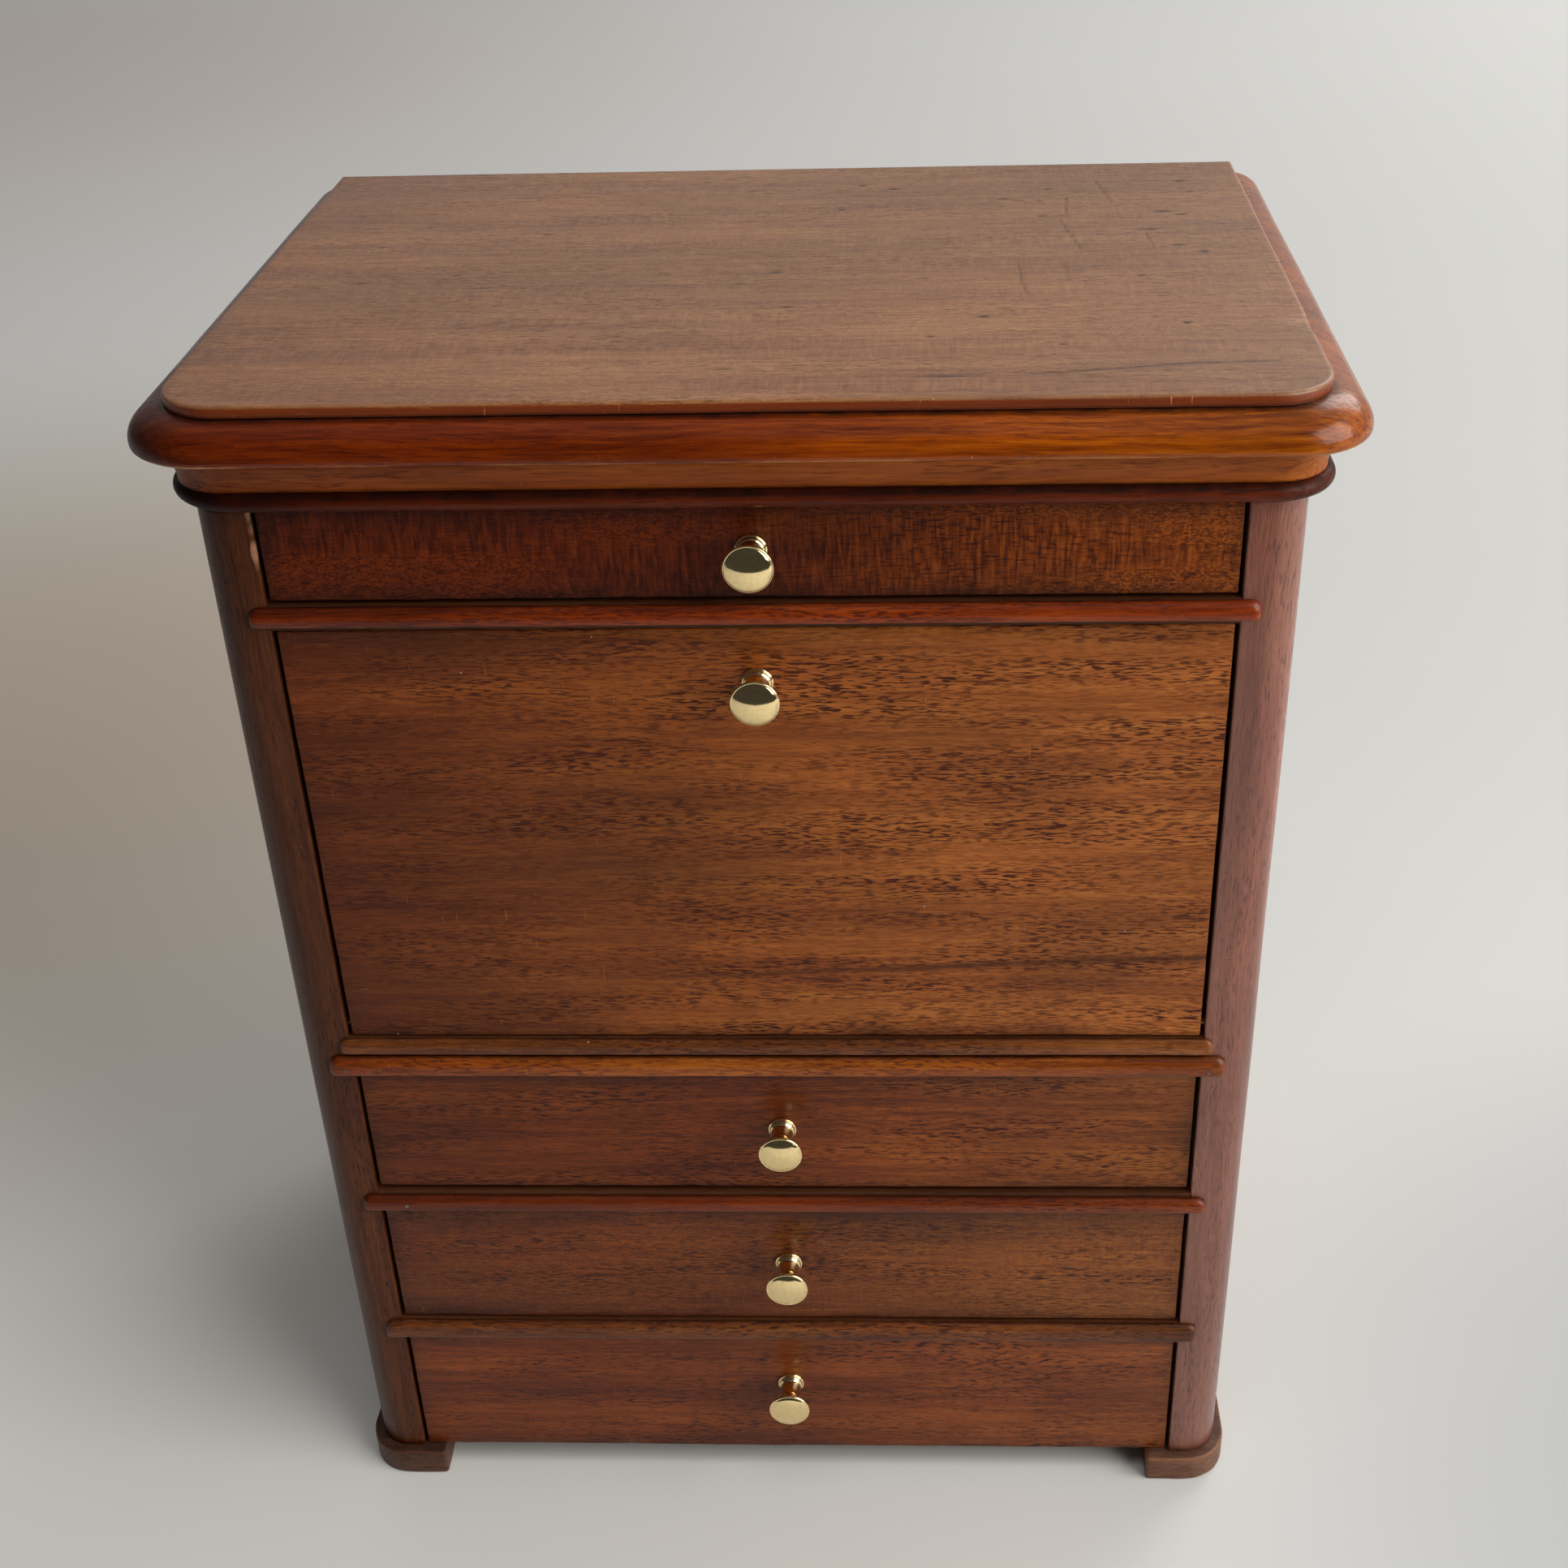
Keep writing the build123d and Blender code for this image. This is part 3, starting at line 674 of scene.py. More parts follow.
# ---------------------------------------------------------------- materials
class Mat:
    """A material being put together from nodes."""

    def __init__(self, name):
        self.m = bpy.data.materials.new(name)
        self.m.use_nodes = True
        self.t = self.m.node_tree
        self.t.nodes.clear()
        out = self.node("ShaderNodeOutputMaterial")
        self.b = self.node("ShaderNodeBsdfPrincipled")
        self.t.links.new(self.b.outputs[0], out.inputs[0])
        self.co = self.node("ShaderNodeTexCoord").outputs["Object"]

    def node(self, kind, ins=None, **props):
        n = self.t.nodes.new(kind)
        for k, v in props.items():
            setattr(n, k, v)
        for k, v in (ins or {}).items():
            self.put(n.inputs[k], v)
        return n

    def put(self, socket, v):
        if hasattr(v, "is_linked"):
            self.t.links.new(v, socket)
        else:
            socket.default_value = v

    def set(self, **values):
        for k, v in values.items():
            self.put(self.b.inputs[k.replace("_", " ")], v)

    def map(self, vec, scale, loc=(0, 0, 0), rot=(0, 0, 0)):
        ins = {"Vector": vec, "Scale": scale, "Location": loc, "Rotation": rot}
        return self.node("ShaderNodeMapping", ins).outputs[0]

    def noise(self, vec, scale=1.0, detail=2.0, rough=0.5, twist=0.0):
        ins = {"Vector": vec, "Scale": scale, "Detail": detail, "Roughness": rough, "Distortion": twist}
        return self.node("ShaderNodeTexNoise", ins).outputs[0]

    def span(self, value, low, high, to_low=0.0, to_high=1.0):
        """A value from one range to another, held at the ends."""
        ins = {"Value": value, 1: low, 2: high, 3: to_low, 4: to_high}
        return self.node("ShaderNodeMapRange", ins).outputs[0]

    def ramp(self, fac, stops):
        n = self.node("ShaderNodeValToRGB", {"Fac": fac})
        e = n.color_ramp.elements
        while len(e) < len(stops):
            e.new(0.5)
        for el, (pos, c) in zip(e, stops):
            el.position = pos
            el.color = (c, c, c, 1) if isinstance(c, (int, float)) else (*c, 1)
        return n.outputs[0]

    def mix(self, fac, a, b, mode="MIX"):
        n = self.node("ShaderNodeMix", data_type="RGBA", blend_type=mode)
        for i, v in ((0, fac), (6, a), (7, b)):
            if isinstance(v, tuple) and len(v) == 3:
                v = (*v, 1)
            self.put(n.inputs[i], v)
        return n.outputs[2]

    def math(self, op, a, b=0.0, c=0.0, clamp=False):
        n = self.node("ShaderNodeMath", operation=op, use_clamp=clamp)
        self.put(n.inputs[0], a)
        self.put(n.inputs[1], b)
        self.put(n.inputs[2], c)
        return n.outputs[0]

    def times(self, a, b):
        return self.math("MULTIPLY", a, b)

    def plus(self, a, b, clamp=False):
        return self.math("ADD", a, b, clamp=clamp)

    def vmath(self, op, a, b):
        n = self.node("ShaderNodeVectorMath", operation=op)
        self.put(n.inputs[0], a)
        self.put(n.inputs[1], b)
        return n.outputs[0]

    def attr(self, name):
        return self.node("ShaderNodeAttribute", attribute_name=name).outputs["Fac"]

    def bump(self, height, strength, distance):
        ins = {"Height": height, "Strength": strength, "Distance": distance}
        return self.node("ShaderNodeBump", ins).outputs[0]


def along(axis, run, cross):
    """Noise scales with one value along an axis and another across it."""
    s = [cross] * 3
    s[axis] = run
    return tuple(s)


def scaled(colour, by):
    """A colour with its channels multiplied by one number or by three."""
    weights = by if isinstance(by, tuple) else (by, by, by)
    return tuple(c * k for c, k in zip(colour, weights))


def grain(g, co, axis, mix_of):
    """Soft bands, streaks and fine lines along one axis, all swaying a little."""
    sway = g.noise(g.map(co, along(axis, 14, 42)), 1.0, 2, 0.55)
    across = {i: (sway if i != axis else 0.0) for i in range(3)}
    offset = g.node("ShaderNodeCombineXYZ", across).outputs[0]
    wavy = g.vmath("ADD", co, g.vmath("MULTIPLY", offset, (0.004, 0.004, 0.004)))
    bands = g.noise(g.map(wavy, along(axis, 6, 75)), 1.0, 3, 0.55)
    streak = g.noise(g.map(wavy, along(axis, 28, 620)), 1.0, 3, 0.6)
    fine = g.noise(g.map(wavy, along(axis, 110, 2300)), 1.0, 2, 0.5)
    small = g.plus(g.times(streak, mix_of[1]), g.times(fine, mix_of[2]))
    return sway, wavy, streak, fine, g.plus(g.times(bands, mix_of[0]), small)


def ripple(g, co, axis, tone, figure):
    """Ripple figure across the grain in some zones and small curls in others."""
    curl = g.noise(g.map(co, along(axis, 950, 130), rot=(0, 0.12, 0)), 1.0, 2, 0.6, 0.4)
    worms = g.noise(g.map(co, along(axis, 700, 1300)), 1.0, 1, 0.6, 1.3)
    zone = g.ramp(g.noise(g.map(co, along(axis, 7, 70)), 1.0, 1, 0.5), [(0.42, 0.0), (0.58, 1.0)])
    curl = g.ramp(curl, [(0.34, 0.30), (0.68, 0.76)])
    worms = g.ramp(worms, [(0.40, 0.38), (0.66, 1.0)])
    return g.plus(g.times(tone, 1 - figure), g.times(g.mix(zone, curl, worms), figure))


def painted_side_light(g, col, across, side_light, tint):
    """Painted shade toward the left and painted light toward the right: colour darker toward the left and
    paler toward the right. A ramp holds no colour over 1, so its colours are kept at an eighth."""
    less, more = side_light
    stops = [
        (0.0, tuple((1 - k * less) / 8 for k in (1, 1.3, 1.45))),
        (0.45, 1 / 8),
        (1.0, tuple((1 + k * more) / 8 for k in tint)),
    ]
    shade = g.ramp(g.span(across, -0.13, 0.13), stops)
    return g.vmath("MULTIPLY", col, g.vmath("MULTIPLY", shade, (8.0, 8.0, 8.0)))


def dark_line(g, col, place, sway, line, mid):
    """One dark streak that sways with the grain, from (x0, z0) to (x1, z1) in millimetres."""
    x0, z0, x1, z1, wide = line
    slope = (z1 - z0) / (x1 - x0)
    level = g.math("MULTIPLY_ADD", place.outputs[0], slope, (z0 - slope * x0) * MM)
    height = g.plus(place.outputs[2], g.times(sway, 0.004))
    off = g.math("ABSOLUTE", g.math("SUBTRACT", height, g.plus(level, 0.002)))
    thin = g.ramp(g.times(off, 1 / (wide * 3 * MM)), [(0.1, 1.0), (0.9, 0.0)])
    start = g.span(place.outputs[0], x0 * MM - 0.02, x0 * MM + 0.05)
    start = g.ramp(start, [(0.0, 0.0), (1.0, 1.0)])
    return g.mix(g.times(g.times(thin, start), 0.75), col, scaled(mid, 0.2))


def open_pores(g, wavy, axis, size, cut):
    """Short dark pores, thicker on the ground in some bands than in others."""
    spots = g.noise(g.map(wavy, along(axis, *size)), 1.0, 1, 0.45, 0.25)
    crowd = g.noise(g.map(wavy, along(axis, 15, 110)), 1.0, 2, 0.5)
    crowd = g.ramp(crowd, [(0.38, 0.3), (0.6, 1.0)])
    return g.times(g.ramp(spots, [(cut, 0.0), (cut + 0.1, 1.0)]), crowd)


def fine_scuffs(g, co):
    """Short fine scratches that run two ways."""
    one = g.noise(g.map(co, (1500, 1500, 140), rot=(0.5, 0.7, 0.2)), 1.0, 1, 0.5)
    other = g.noise(g.map(co, (120, 1500, 1500), rot=(0.2, 0.45, 0.6)), 1.0, 1, 0.5)
    one = g.ramp(one, [(0.74, 0.0), (0.80, 1.0)])
    other = g.ramp(other, [(0.75, 0.0), (0.81, 1.0)])
    return g.math("MAXIMUM", one, other)


def dust_specks(g, co):
    """Small round specks, in some cells only."""
    cell = g.node("ShaderNodeTexVoronoi", {"Vector": co, "Scale": 75.0})
    near = g.ramp(cell.outputs["Distance"], [(0.011, 1.0), (0.020, 0.0)])
    pick = g.ramp(cell.outputs["Color"], [(0.55, 0.0), (0.7, 1.0)])
    return g.times(near, pick)


def wood(name, axis, mid, seed, contrast, mix_of=(0.42, 0.34, 0.24), figure=0.0, patch=0.25,
         pore=0.6, pore_cut=0.56, pore_size=(170, 1500), rough=(0.26, 0.42), coat=0.2,
         coat_rough=0.14, spec=0.35, worn=(0.32, 0.13, 0.05), wear=0.8, dust=0.8, scuff=0.3,
         side_light=(0.0, 0.0), side_light_tint=(1.0, 1.3, 1.6), low_shade=0.0, streaks=(), skirt=None):
    """Polished mahogany with its grain along one axis: bands, streaks, pores and ripple figure, dirt
    and painted shade in corners, wear on edges, specks of dust and fine scuffs. The left-right fade is
    painted shade on the left and painted light on the right, the low fade is painted shade darkening the
    foot, and skirt gives (height, colour) below."""
    g = Mat(name)
    dark = tuple(m * (1 - k * contrast) for m, k in zip(mid, (0.62, 0.74, 0.8)))
    light = tuple(m * (1 + k * contrast) for m, k in zip(mid, (0.55, 0.85, 1.0)))
    co = g.map(g.co, (1, 1, 1), loc=(seed * 0.37, seed * 0.21, seed * 0.53))
    place = g.node("ShaderNodeSeparateXYZ", {0: g.co})

    # the wood's own colour
    sway, wavy, streak, fine, tone = grain(g, co, axis, mix_of)
    if figure:
        tone = ripple(g, co, axis, tone, figure)
    col = g.ramp(tone, [(0.30, dark), (0.5, mid), (0.68, light)])
    broad = g.noise(g.map(co, along(axis, 9, 26)), 1.0, 2, 0.5)
    shade = g.ramp(broad, [(0.32, 1 - patch), (0.68, 1 + patch * 0.3)])
    col = g.mix(1.0, col, shade, "MULTIPLY")
    # painted side light: the left darkened and the right paled as light falls across the object
    if side_light != (0.0, 0.0):
        col = painted_side_light(g, col, place.outputs[0], side_light, side_light_tint)
    # painted shade: colour darker toward the foot
    if low_shade:
        col = g.mix(1.0, col, g.span(place.outputs[2], 0.0, 0.17, 1 - low_shade, 1.0), "MULTIPLY")
    for line in streaks:
        col = dark_line(g, col, place, sway, line, mid)
    pores = open_pores(g, wavy, axis, pore_size, pore_cut)
    col = g.mix(g.times(pores, pore), col, scaled(mid, (0.25, 0.16, 0.14)))
    if skirt:
        level, under = skirt
        below = g.span(place.outputs[2], level - 0.0004, level, 1.0, 0.0)
        col = g.mix(below, col, g.mix(streak, scaled(under, 0.5), scaled(under, 1.5)))

    # wear, dirt and painted shade, scuffs and dust over it
    gnaw = g.noise(co, 260.0, 3, 0.65)
    rub = g.plus(g.times(g.attr("wear"), 0.75), g.times(gnaw, 0.5))
    rub = g.ramp(rub, [(0.62, 0.0), (0.92, 1.0)])
    col = g.mix(g.times(rub, wear), col, worn)
    # the darkening below: real dirt in the top's dents, scratches and crack, and painted shade in joints,
    # hollows and under overhangs, toward near black
    patchy = g.ramp(g.noise(co, 160.0, 2, 0.6), [(0.3, 0.55), (0.6, 1.0)])
    dirt = g.math("MULTIPLY", g.attr("dirt_and_shade"), patchy, clamp=True)
    col = g.mix(g.times(dirt, 0.9), col, (0.008, 0.003, 0.002))
    scuffs = fine_scuffs(g, co)
    col = g.mix(g.times(scuffs, 0.5 * scuff), col, tuple(min(1, c * 2 + 0.04) for c in light))
    col = g.mix(g.times(dust_specks(g, co), dust), col, (0.50, 0.42, 0.36))

    smear = g.noise(g.map(co, along(axis, 20, 45)), 1.0, 3, 0.6)
    dull = g.plus(g.times(pores, 0.12), g.plus(g.times(rub, 0.18), g.times(dirt, 0.3)))
    roughness = g.plus(g.span(smear, 0.0, 1.0, *rough), dull, clamp=True)
    ridges = g.plus(g.times(streak, 0.5), g.times(fine, 0.4))
    pits = g.plus(g.times(pores, 0.7), g.times(scuffs, 0.35 * scuff))
    normal = g.bump(g.math("SUBTRACT", ridges, pits), 0.5, 0.00016)
    g.set(Base_Color=col, Roughness=roughness, Normal=normal)
    g.set(Coat_Weight=coat, Coat_Roughness=coat_rough, Specular_IOR_Level=spec)
    return g.m


def brass(name, tint, rough=(0.05, 0.13)):
    """Polished yellow brass with turning lines, faint tarnish and fingered haze."""
    g = Mat(name)
    haze = g.noise(g.co, 320.0, 3, 0.6)
    tarnish = g.ramp(g.noise(g.co, 900.0, 2, 0.6), [(0.45, 0.0), (0.75, 1.0)])
    col = g.mix(g.times(tarnish, 0.35), tint, (0.62, 0.43, 0.16))
    spots = g.ramp(g.noise(g.co, 2600.0, 1, 0.5), [(0.72, 0.0), (0.8, 1.0)])
    col = g.mix(g.times(spots, 0.4), col, (0.25, 0.15, 0.06))
    rings = g.noise(g.map(g.co, (500, 6000, 500)), 1.0, 1, 0.5)
    g.set(Base_Color=col, Metallic=1.0, Roughness=g.span(haze, 0.0, 1.0, *rough))
    g.set(Normal=g.bump(rings, 0.06, 0.00005))
    return g.m


def steel(name):
    """Tarnished fine nail."""
    g = Mat(name)
    stops = [(0.35, (0.05, 0.035, 0.03)), (0.65, (0.35, 0.30, 0.26))]
    col = g.ramp(g.noise(g.co, 1800.0, 2, 0.6), stops)
    roughness = g.ramp(g.noise(g.co, 900.0, 2, 0.6), [(0.3, 0.3), (0.7, 0.6)])
    g.set(Base_Color=col, Metallic=1.0, Roughness=roughness)
    return g.m


def painted_shade_stage(name, colour):
    """A pale matt floor with three broad soft patches of painted shade, as (middle, reach, shade), the
    largest a painted shadow of the chest to its left.
    """
    patches = (
        ((-0.42, 0.42, 0), (0.05, 0.62), (0.76, 0.655, 0.56)),
        ((0.42, -0.15, 0), (0.16, 0.36), (0.72, 0.74, 0.78)),
        ((-0.95, 1.95, 0), (0.1, 1.0), (0.94, 0.87, 0.86)),
    )
    g = Mat(name)
    bright = tuple(min(1, c * 1.01) for c in colour)
    col = g.mix(g.noise(g.co, 3.0, 2, 0.5), scaled(colour, 0.985), bright)
    for middle, reach, shade in patches:
        away = g.node("ShaderNodeVectorMath", {0: g.co, 1: middle}, operation="DISTANCE").outputs["Value"]
        ins = {"Value": away, 1: reach[0], 2: reach[1]}
        spread = g.node("ShaderNodeMapRange", ins, interpolation_type="SMOOTHSTEP").outputs[0]
        col = g.mix(1.0, col, g.mix(spread, shade, (1.0, 1.0, 1.0)), "MULTIPLY")
    g.set(Base_Color=col, Roughness=0.7, Specular_IOR_Level=0.2)
    return g.m


ALONG_X, ALONG_Y, ALONG_Z = 0, 1, 2

# settings that several woods share
DRAWER = dict(pore=1.0, pore_cut=0.51, pore_size=(300, 2300), patch=0.4, rough=(0.26, 0.38),
              coat=0.08, coat_rough=0.1, side_light_tint=(1.0, 2.0, 4.5))
BEAD = dict(pore=0.9, pore_cut=0.51, pore_size=(300, 1900), patch=0.4, rough=(0.22, 0.34),
            coat=0.15, spec=0.25)
FOOT = dict(pore=0.7, pore_cut=0.52, pore_size=(260, 1900), rough=(0.38, 0.52), coat=0.03, wear=0.5)
LINING = dict(pore=0.3, patch=0.15, rough=(0.55, 0.7), coat=0.0, dust=0.2, worn=(0.5, 0.35, 0.2))

m_top = wood(
    "mahogany_top", ALONG_X, (0.300, 0.116, 0.039), 1, 1.0, mix_of=(0.3, 0.4, 0.3), figure=0.22,
    patch=0.2, pore_size=(260, 1700), rough=(0.3, 0.44), coat=0.15, spec=0.5, scuff=0.8,
    side_light=(0.2, 0.0), skirt=((panel_high.z - 0.55) * MM, (0.210, 0.032, 0.001)))
m_crown = wood(
    "mahogany_crown", ALONG_X, (0.222, 0.028, 0.0003), 2, 1.3, mix_of=(0.2, 0.5, 0.3), patch=0.35,
    pore=0.4, pore_size=(260, 1700), rough=(0.2, 0.34), coat_rough=0.08, spec=0.22,
    worn=(0.55, 0.24, 0.08), side_light=(0.3, 0.3), side_light_tint=(1.0, 4.0, 3.0))
m_cove = wood(
    "mahogany_cove", ALONG_X, (0.372, 0.078, 0.006), 3, 1.0, rough=(0.28, 0.4), coat=0.02,
    spec=0.18, side_light=(0.15, 0.45), side_light_tint=(1.0, 1.5, 3.0))
m_astragal = wood(
    "mahogany_astragal", ALONG_X, (0.108, 0.017, 0.005), 4, 1.1, pore=0.5, rough=(0.2, 0.3),
    coat=0.0, spec=0.12, side_light=(0.6, 0.35))
m_frieze = wood(
    "mahogany_figured", ALONG_X, (0.104, 0.0125, 0.0008), 5, 1.5, figure=0.6, pore=0.7,
    pore_cut=0.54, pore_size=(300, 1900), rough=(0.28, 0.42), coat=0.03, spec=0.16,
    side_light=(0.1, 1.3), side_light_tint=(1.0, 2.2, 4.0))
m_fall = wood(
    "mahogany_fall", ALONG_X, (0.252, 0.064, 0.0085), 6, 0.95, patch=0.4, pore=1.0, pore_cut=0.49,
    pore_size=(300, 2300), rough=(0.28, 0.42), coat=0.04, spec=0.2, side_light=(0.5, 0.9),
    side_light_tint=(1.0, 1.3, 2.4), streaks=((-34, 201.3, 118, 208.0, 0.6),))
m_drawer_a = wood("mahogany_upper", ALONG_X, (0.194, 0.037, 0.003), 7, 1.25, spec=0.2,
                  side_light=(0.1, 0.65), **DRAWER)
m_drawer_b = wood("mahogany_middle", ALONG_X, (0.169, 0.034, 0.003), 8, 1.3, spec=0.24, figure=0.2,
                  side_light=(0.2, 0.55), **DRAWER)
m_drawer_c = wood("mahogany_lower", ALONG_X, (0.205, 0.039, 0.004), 9, 1.25, spec=0.24,
                  side_light=(0.05, 0.4), **DRAWER)
# the posts are one wood in shaded and lit copies: the left darker as painted shade, the right paler and
# pinker as painted light and reflection
m_post_shaded = wood(
    "mahogany_post_painted_shade", ALONG_Z, (0.086, 0.021, 0.005), 10, 1.4, pore=0.8, pore_size=(260, 1900),
    rough=(0.26, 0.38), coat=0.03, spec=0.18, worn=(0.36, 0.17, 0.09), low_shade=0.05)
m_post_lit = wood(
    "mahogany_post_painted_light", ALONG_Z, (0.262, 0.086, 0.052), 11, 0.75, patch=0.35, pore_cut=0.54,
    pore_size=(260, 1900), rough=(0.28, 0.4), coat=0.3, spec=0.5, low_shade=0.35)
m_bead = wood("mahogany_bead", ALONG_X, (0.285, 0.038, 0.003), 12, 1.4, worn=(0.30, 0.09, 0.03), **BEAD)
m_bead_pale = wood("mahogany_bead_pale", ALONG_X, (0.380, 0.090, 0.007), 13, 1.4,
                   worn=(0.34, 0.12, 0.04), side_light=(0.55, -0.3), **BEAD)
m_bead_brown = wood("mahogany_bead_brown", ALONG_X, (0.185, 0.048, 0.008), 21, 1.4,
                    worn=(0.26, 0.08, 0.02), side_light=(0.15, 0.15), **BEAD)
m_bead_red = wood("mahogany_bead_red", ALONG_X, (0.165, 0.022, 0.002), 22, 1.4,
                  worn=(0.24, 0.06, 0.015), side_light=(0.1, 0.1), side_light_tint=(1.0, 3.0, 4.0), **BEAD)
m_foot = wood("mahogany_foot", ALONG_X, (0.190, 0.074, 0.036), 14, 0.8, worn=(0.30, 0.11, 0.04), **FOOT)
# the left foot is the foot wood darkened as painted shade
m_foot_shaded = wood("mahogany_foot_painted_shade", ALONG_X, (0.095, 0.034, 0.016), 23, 0.8, spec=0.25,
                worn=(0.22, 0.08, 0.03), **FOOT)
m_side = wood("mahogany_side", ALONG_Z, (0.160, 0.046, 0.014), 15, 0.8, pore=0.7, rough=(0.3, 0.44),
              coat=0.1)
m_rail = wood("mahogany_rail", ALONG_X, (0.080, 0.024, 0.008), 16, 0.7, rough=(0.34, 0.5), coat=0.05,
              spec=0.25)
m_inner = wood("stained_inner", ALONG_Y, (0.170, 0.085, 0.040), 17, 0.6, pore=0.3, rough=(0.5, 0.65),
               coat=0.0, dust=0.3)
m_back = wood("stained_back", ALONG_Z, (0.170, 0.088, 0.042), 18, 0.8, pore=0.4, rough=(0.5, 0.66),
              coat=0.0, dust=0.4)
m_lining = wood("lining_long", ALONG_Y, (0.45, 0.27, 0.125), 19, 0.45, **LINING)
m_lining_x = wood("lining_cross", ALONG_X, (0.45, 0.27, 0.125), 20, 0.45, **LINING)
m_brass = brass("brass_knob", (0.93, 0.725, 0.385))
m_pin = brass("brass_pin", (0.22, 0.13, 0.06), (0.35, 0.5))
m_nail = steel("nail_steel")


def node_finish(name):
    """The wood or metal of a CAD node."""
    if "knob" in name:
        return m_brass
    if "pin" in name:
        return m_pin
    if "brads" in name:
        return m_nail
    if name.endswith(("drawer_side_left", "drawer_side_right")):
        return m_lining
    if name.endswith(("drawer_back", "drawer_bottom")):
        return m_lining_x
    if name == "back_panel":
        return m_back
    if name.startswith("drawer_guides") or name == "bottom_board":
        return m_inner
    if name.startswith(("side_panel", "corner_post")):
        return m_side
    return m_rail


for name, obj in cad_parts.items():
    if not obj.data.materials:
        obj.data.materials.append(None)
    for i in range(len(obj.data.materials)):
        obj.data.materials[i] = node_finish(name)

# ---------------------------------------------------------------- the object
top_piece(m_top)
crown_piece(m_crown)
cove_piece(m_cove)
astragal_piece(m_astragal)

post_piece(-1, m_post_shaded)
post_piece(1, m_post_lit)
for side, label in ((-1, "left"), (1, "right")):
    block_piece(f"case_side_{label}", f"side_panel_{label}", m_side, "case", r=0.6, step=6.0,
                warp=0.12, seed=20 + side)
    block_piece(f"back_foot_{label}", f"rear_foot_{label}", m_foot, "case", r=0.7, step=3.0,
                warp=0.08, seed=30 + side)
    foot_piece(side, m_foot_shaded if side < 0 else m_foot)
block_piece("case_back", "back_panel", m_back, "case", r=0.4, step=6.0,
            warp=0.15, seed=41)

bead_piece("bead_1", m_bead, 1.0)
bead_piece("bead_2_upper", m_bead_brown, 2.0, lip=0.25)
bead_piece("bead_2_lower", m_bead_pale, 3.0, lip=0.3)
bead_piece("bead_3", m_bead_red, 4.0)
bead_piece("bead_4", m_bead_brown, 5.0, end_taper=(1.6, 0.6), lip=0.3)

# each front's last number darkens it toward its edges as painted shade
fronts = (
    ("frieze_drawer", m_frieze, 51, 0.8),
    ("upper_drawer", m_drawer_a, 53, 0.5),
    ("middle_drawer", m_drawer_b, 55, 0.5),
    ("lower_drawer", m_drawer_c, 57, 0.5),
)
for body, mat, seed, edge_shade in fronts:
    knob_low, knob_high = box_mm(f"{body}_knob")
    kx, kz = (knob_low.x + knob_high.x) / 2, (knob_low.z + knob_high.z) / 2
    # painted shadow of the knob: darker patches to its left, to its right and below it
    marks = ((kx - 8, kz + 1, 8, 0.3), (kx + 10, kz, 9, 0.3), (kx + 1, kz - 7, 9, 0.2))
    block_piece(f"{body}_face", f"{body}_front", mat, body, r=0.5, step=2.5, warp=0.1, seed=seed,
                chip=0.6, rub=0.35, edge_shade=edge_shade, dark_patches=marks)
    knob_piece(f"{body}_knob", m_brass, body)
# darker patches on the fall, and painted shade along its bottom edge
flap_dark_patches = ((-96, 222, 26, 0.14), (-30, 236, 40, 0.1), (6, 283, 10, 0.2))
block_piece("flap_board", "fall_panel", m_fall, "flap", r=0.6, step=4.0, warp=0.12, seed=61,
            chip=0.5, rub=0.4, edge_shade=0.15, bottom_shade=0.55, dark_patches=flap_dark_patches)
knob_piece("fall_knob", m_brass, "flap")

# ---------------------------------------------------------------- floor, light and camera
floor_mesh = bpy.data.meshes.new("floor")
floor_mesh.from_pydata([(-6, -0.72, 0), (6, -0.72, 0), (6, 6, 0), (-6, 6, 0)], [], [(0, 1, 2, 3)])
floor = bpy.data.objects.new("floor", floor_mesh)
bpy.context.scene.collection.objects.link(floor)
floor.data.materials.append(painted_shade_stage("pale_floor", (0.715, 0.712, 0.690)))


def area(name, place, aim, size, power, colour):
    """A rectangular light at a place, turned toward a point."""
    data = bpy.data.lights.new(name, "AREA")
    data.shape = "RECTANGLE"
    data.size, data.size_y = size
    data.energy = power
    data.color = colour
    obj = bpy.data.objects.new(name, data)
    obj.location = place
    obj.rotation_euler = (Vector(aim) - Vector(place)).to_track_quat("-Z", "Y").to_euler()
    bpy.context.scene.collection.objects.link(obj)
    return obj


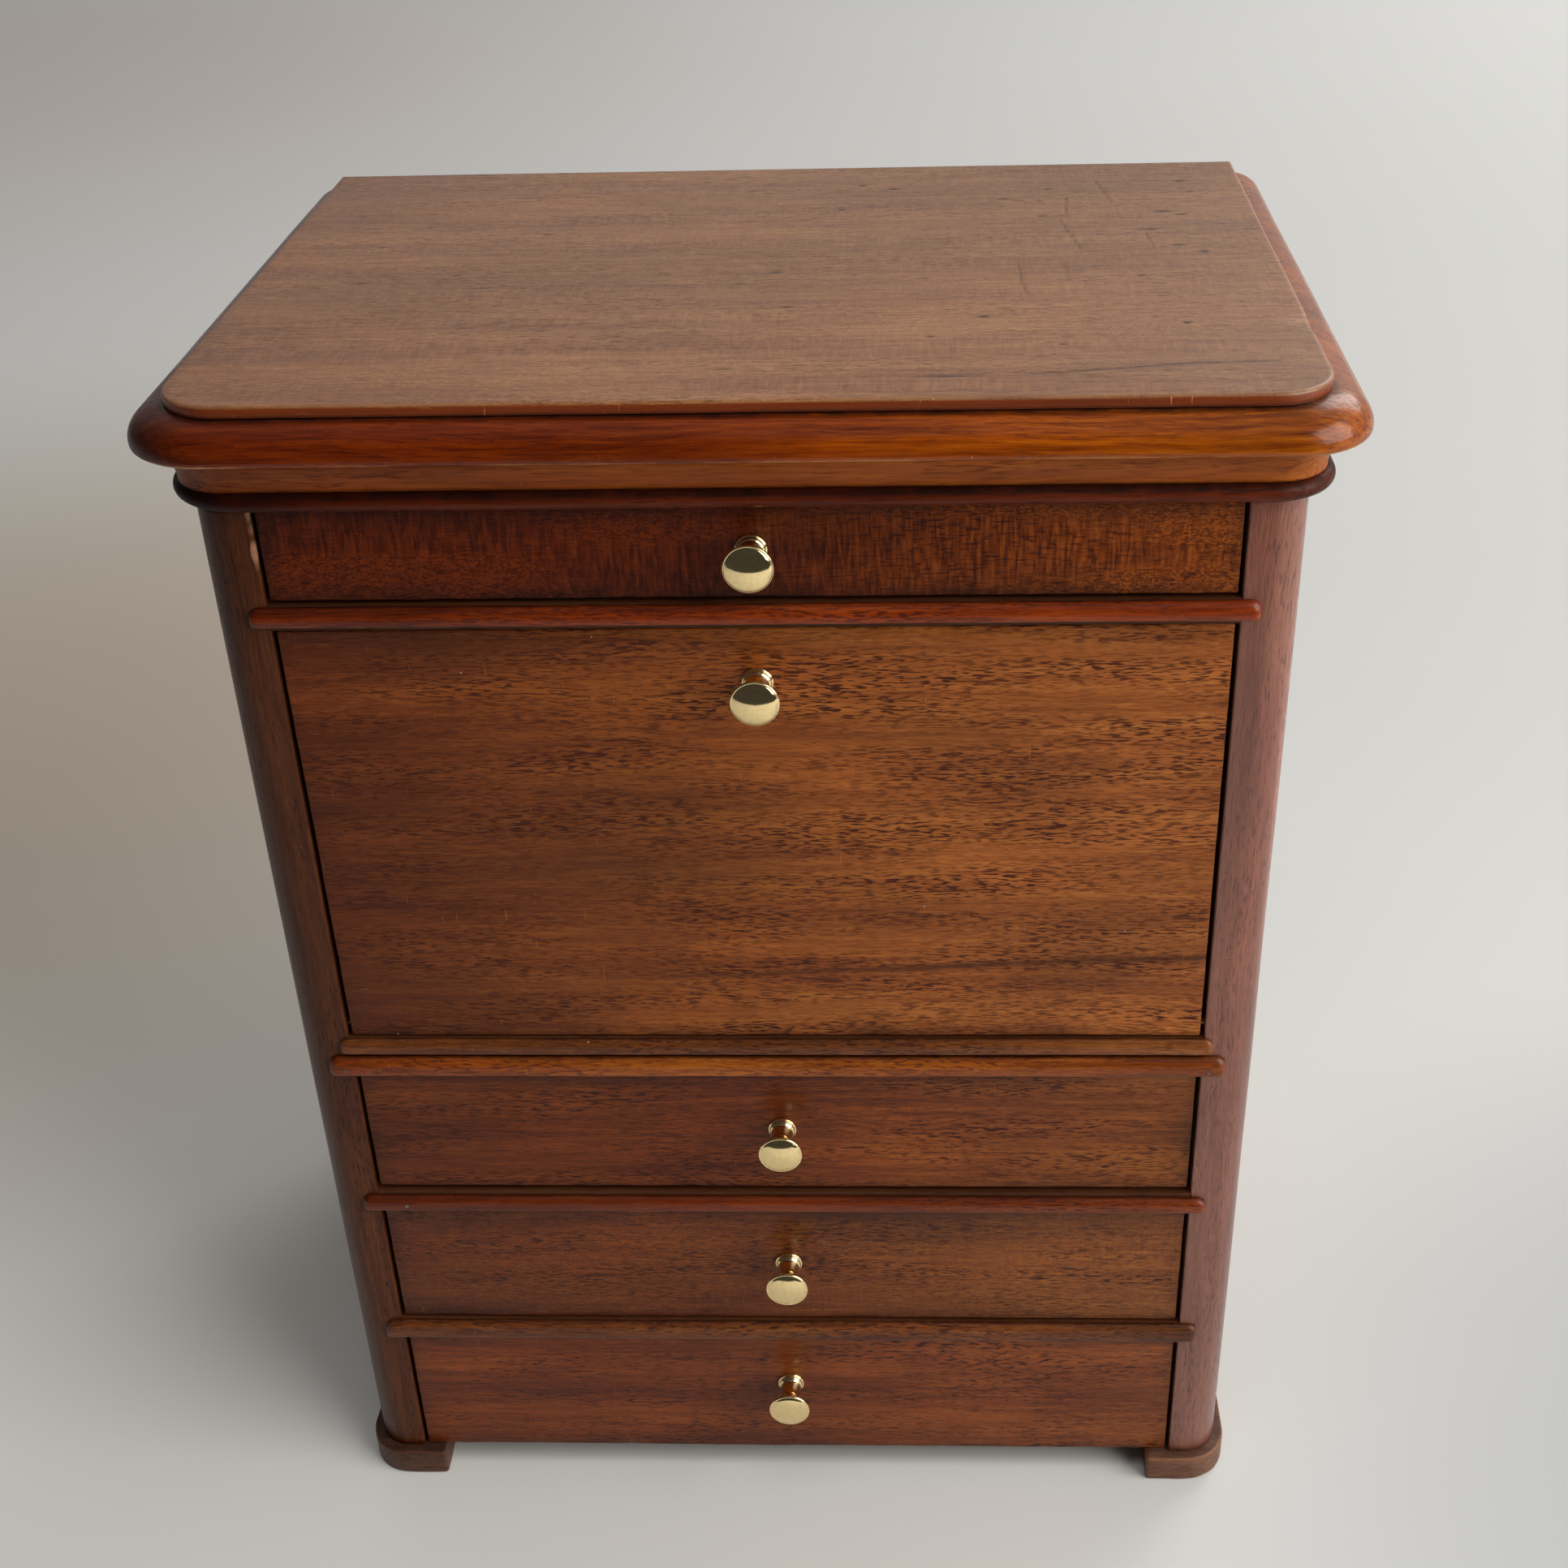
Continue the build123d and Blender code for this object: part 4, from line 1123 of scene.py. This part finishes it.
area("window_right", (1.8, -0.95, 1.2), (0, 0, 0.1), (1.9, 1.9), 58, (1.0, 0.99, 0.95))
over = area("floor_wash", (0.0, -0.50, 1.25), (0.0, -0.50, 0), (0.9, 0.5), 0.9, (1.0, 1.0, 0.98))
over.data.spread = math.radians(75)
over.visible_glossy = False
area("wall_wash", (1.7, 2.4, 2.0), (0.4, 2.0, 0), (1.8, 1.8), 44, (1.0, 1.0, 1.0))


def studio_world():
    """A soft warm surround, brighter toward the back, the right and above."""
    world = bpy.data.worlds.new("studio")
    bpy.context.scene.world = world
    world.use_nodes = True
    tree = world.node_tree
    background = tree.nodes["Background"]
    background.inputs[0].default_value = (1.0, 0.98, 0.95, 1)
    ray = tree.nodes.new("ShaderNodeTexCoord").outputs["Generated"]
    lean = tree.nodes.new("ShaderNodeVectorMath")
    lean.operation = "DOT_PRODUCT"
    lean.inputs[1].default_value = (0.48, 0.72, 0.40)
    tree.links.new(ray, lean.inputs[0])
    glow = tree.nodes.new("ShaderNodeMapRange")
    glow.interpolation_type = "SMOOTHSTEP"
    for i, v in ((1, -0.15), (2, 0.85), (3, 0.05), (4, 0.46)):
        glow.inputs[i].default_value = v
    tree.links.new(lean.outputs["Value"], glow.inputs[0])
    tree.links.new(glow.outputs[0], background.inputs[1])


def camera():
    """The camera, above and in front, looking down at the chest and a little to the left."""
    data = bpy.data.cameras.new("camera")
    obj = bpy.data.objects.new("camera", data)
    bpy.context.scene.collection.objects.link(obj)
    data.sensor_width = 36
    data.lens = 46.916
    data.shift_x = -0.03156
    data.shift_y = -0.01275
    data.clip_start = 0.01
    data.dof.use_dof = False
    pitch, yaw, roll = 0.5466, -0.0482, -0.0302
    place = Vector((0.04133, -0.45116 + FRONT * MM, 0.54511))
    forward = Vector((math.sin(yaw) * math.cos(pitch), math.cos(yaw) * math.cos(pitch), -math.sin(pitch)))
    level = Vector((math.cos(yaw), -math.sin(yaw), 0))
    upright = level.cross(forward)
    right = level * math.cos(roll) + upright * math.sin(roll)
    up = upright * math.cos(roll) - level * math.sin(roll)
    turned = Matrix((right, up, -forward)).transposed().to_4x4()
    obj.matrix_world = Matrix.Translation(place) @ turned
    bpy.context.scene.camera = obj


studio_world()
camera()
bpy.context.scene.view_settings.view_transform = "Standard"
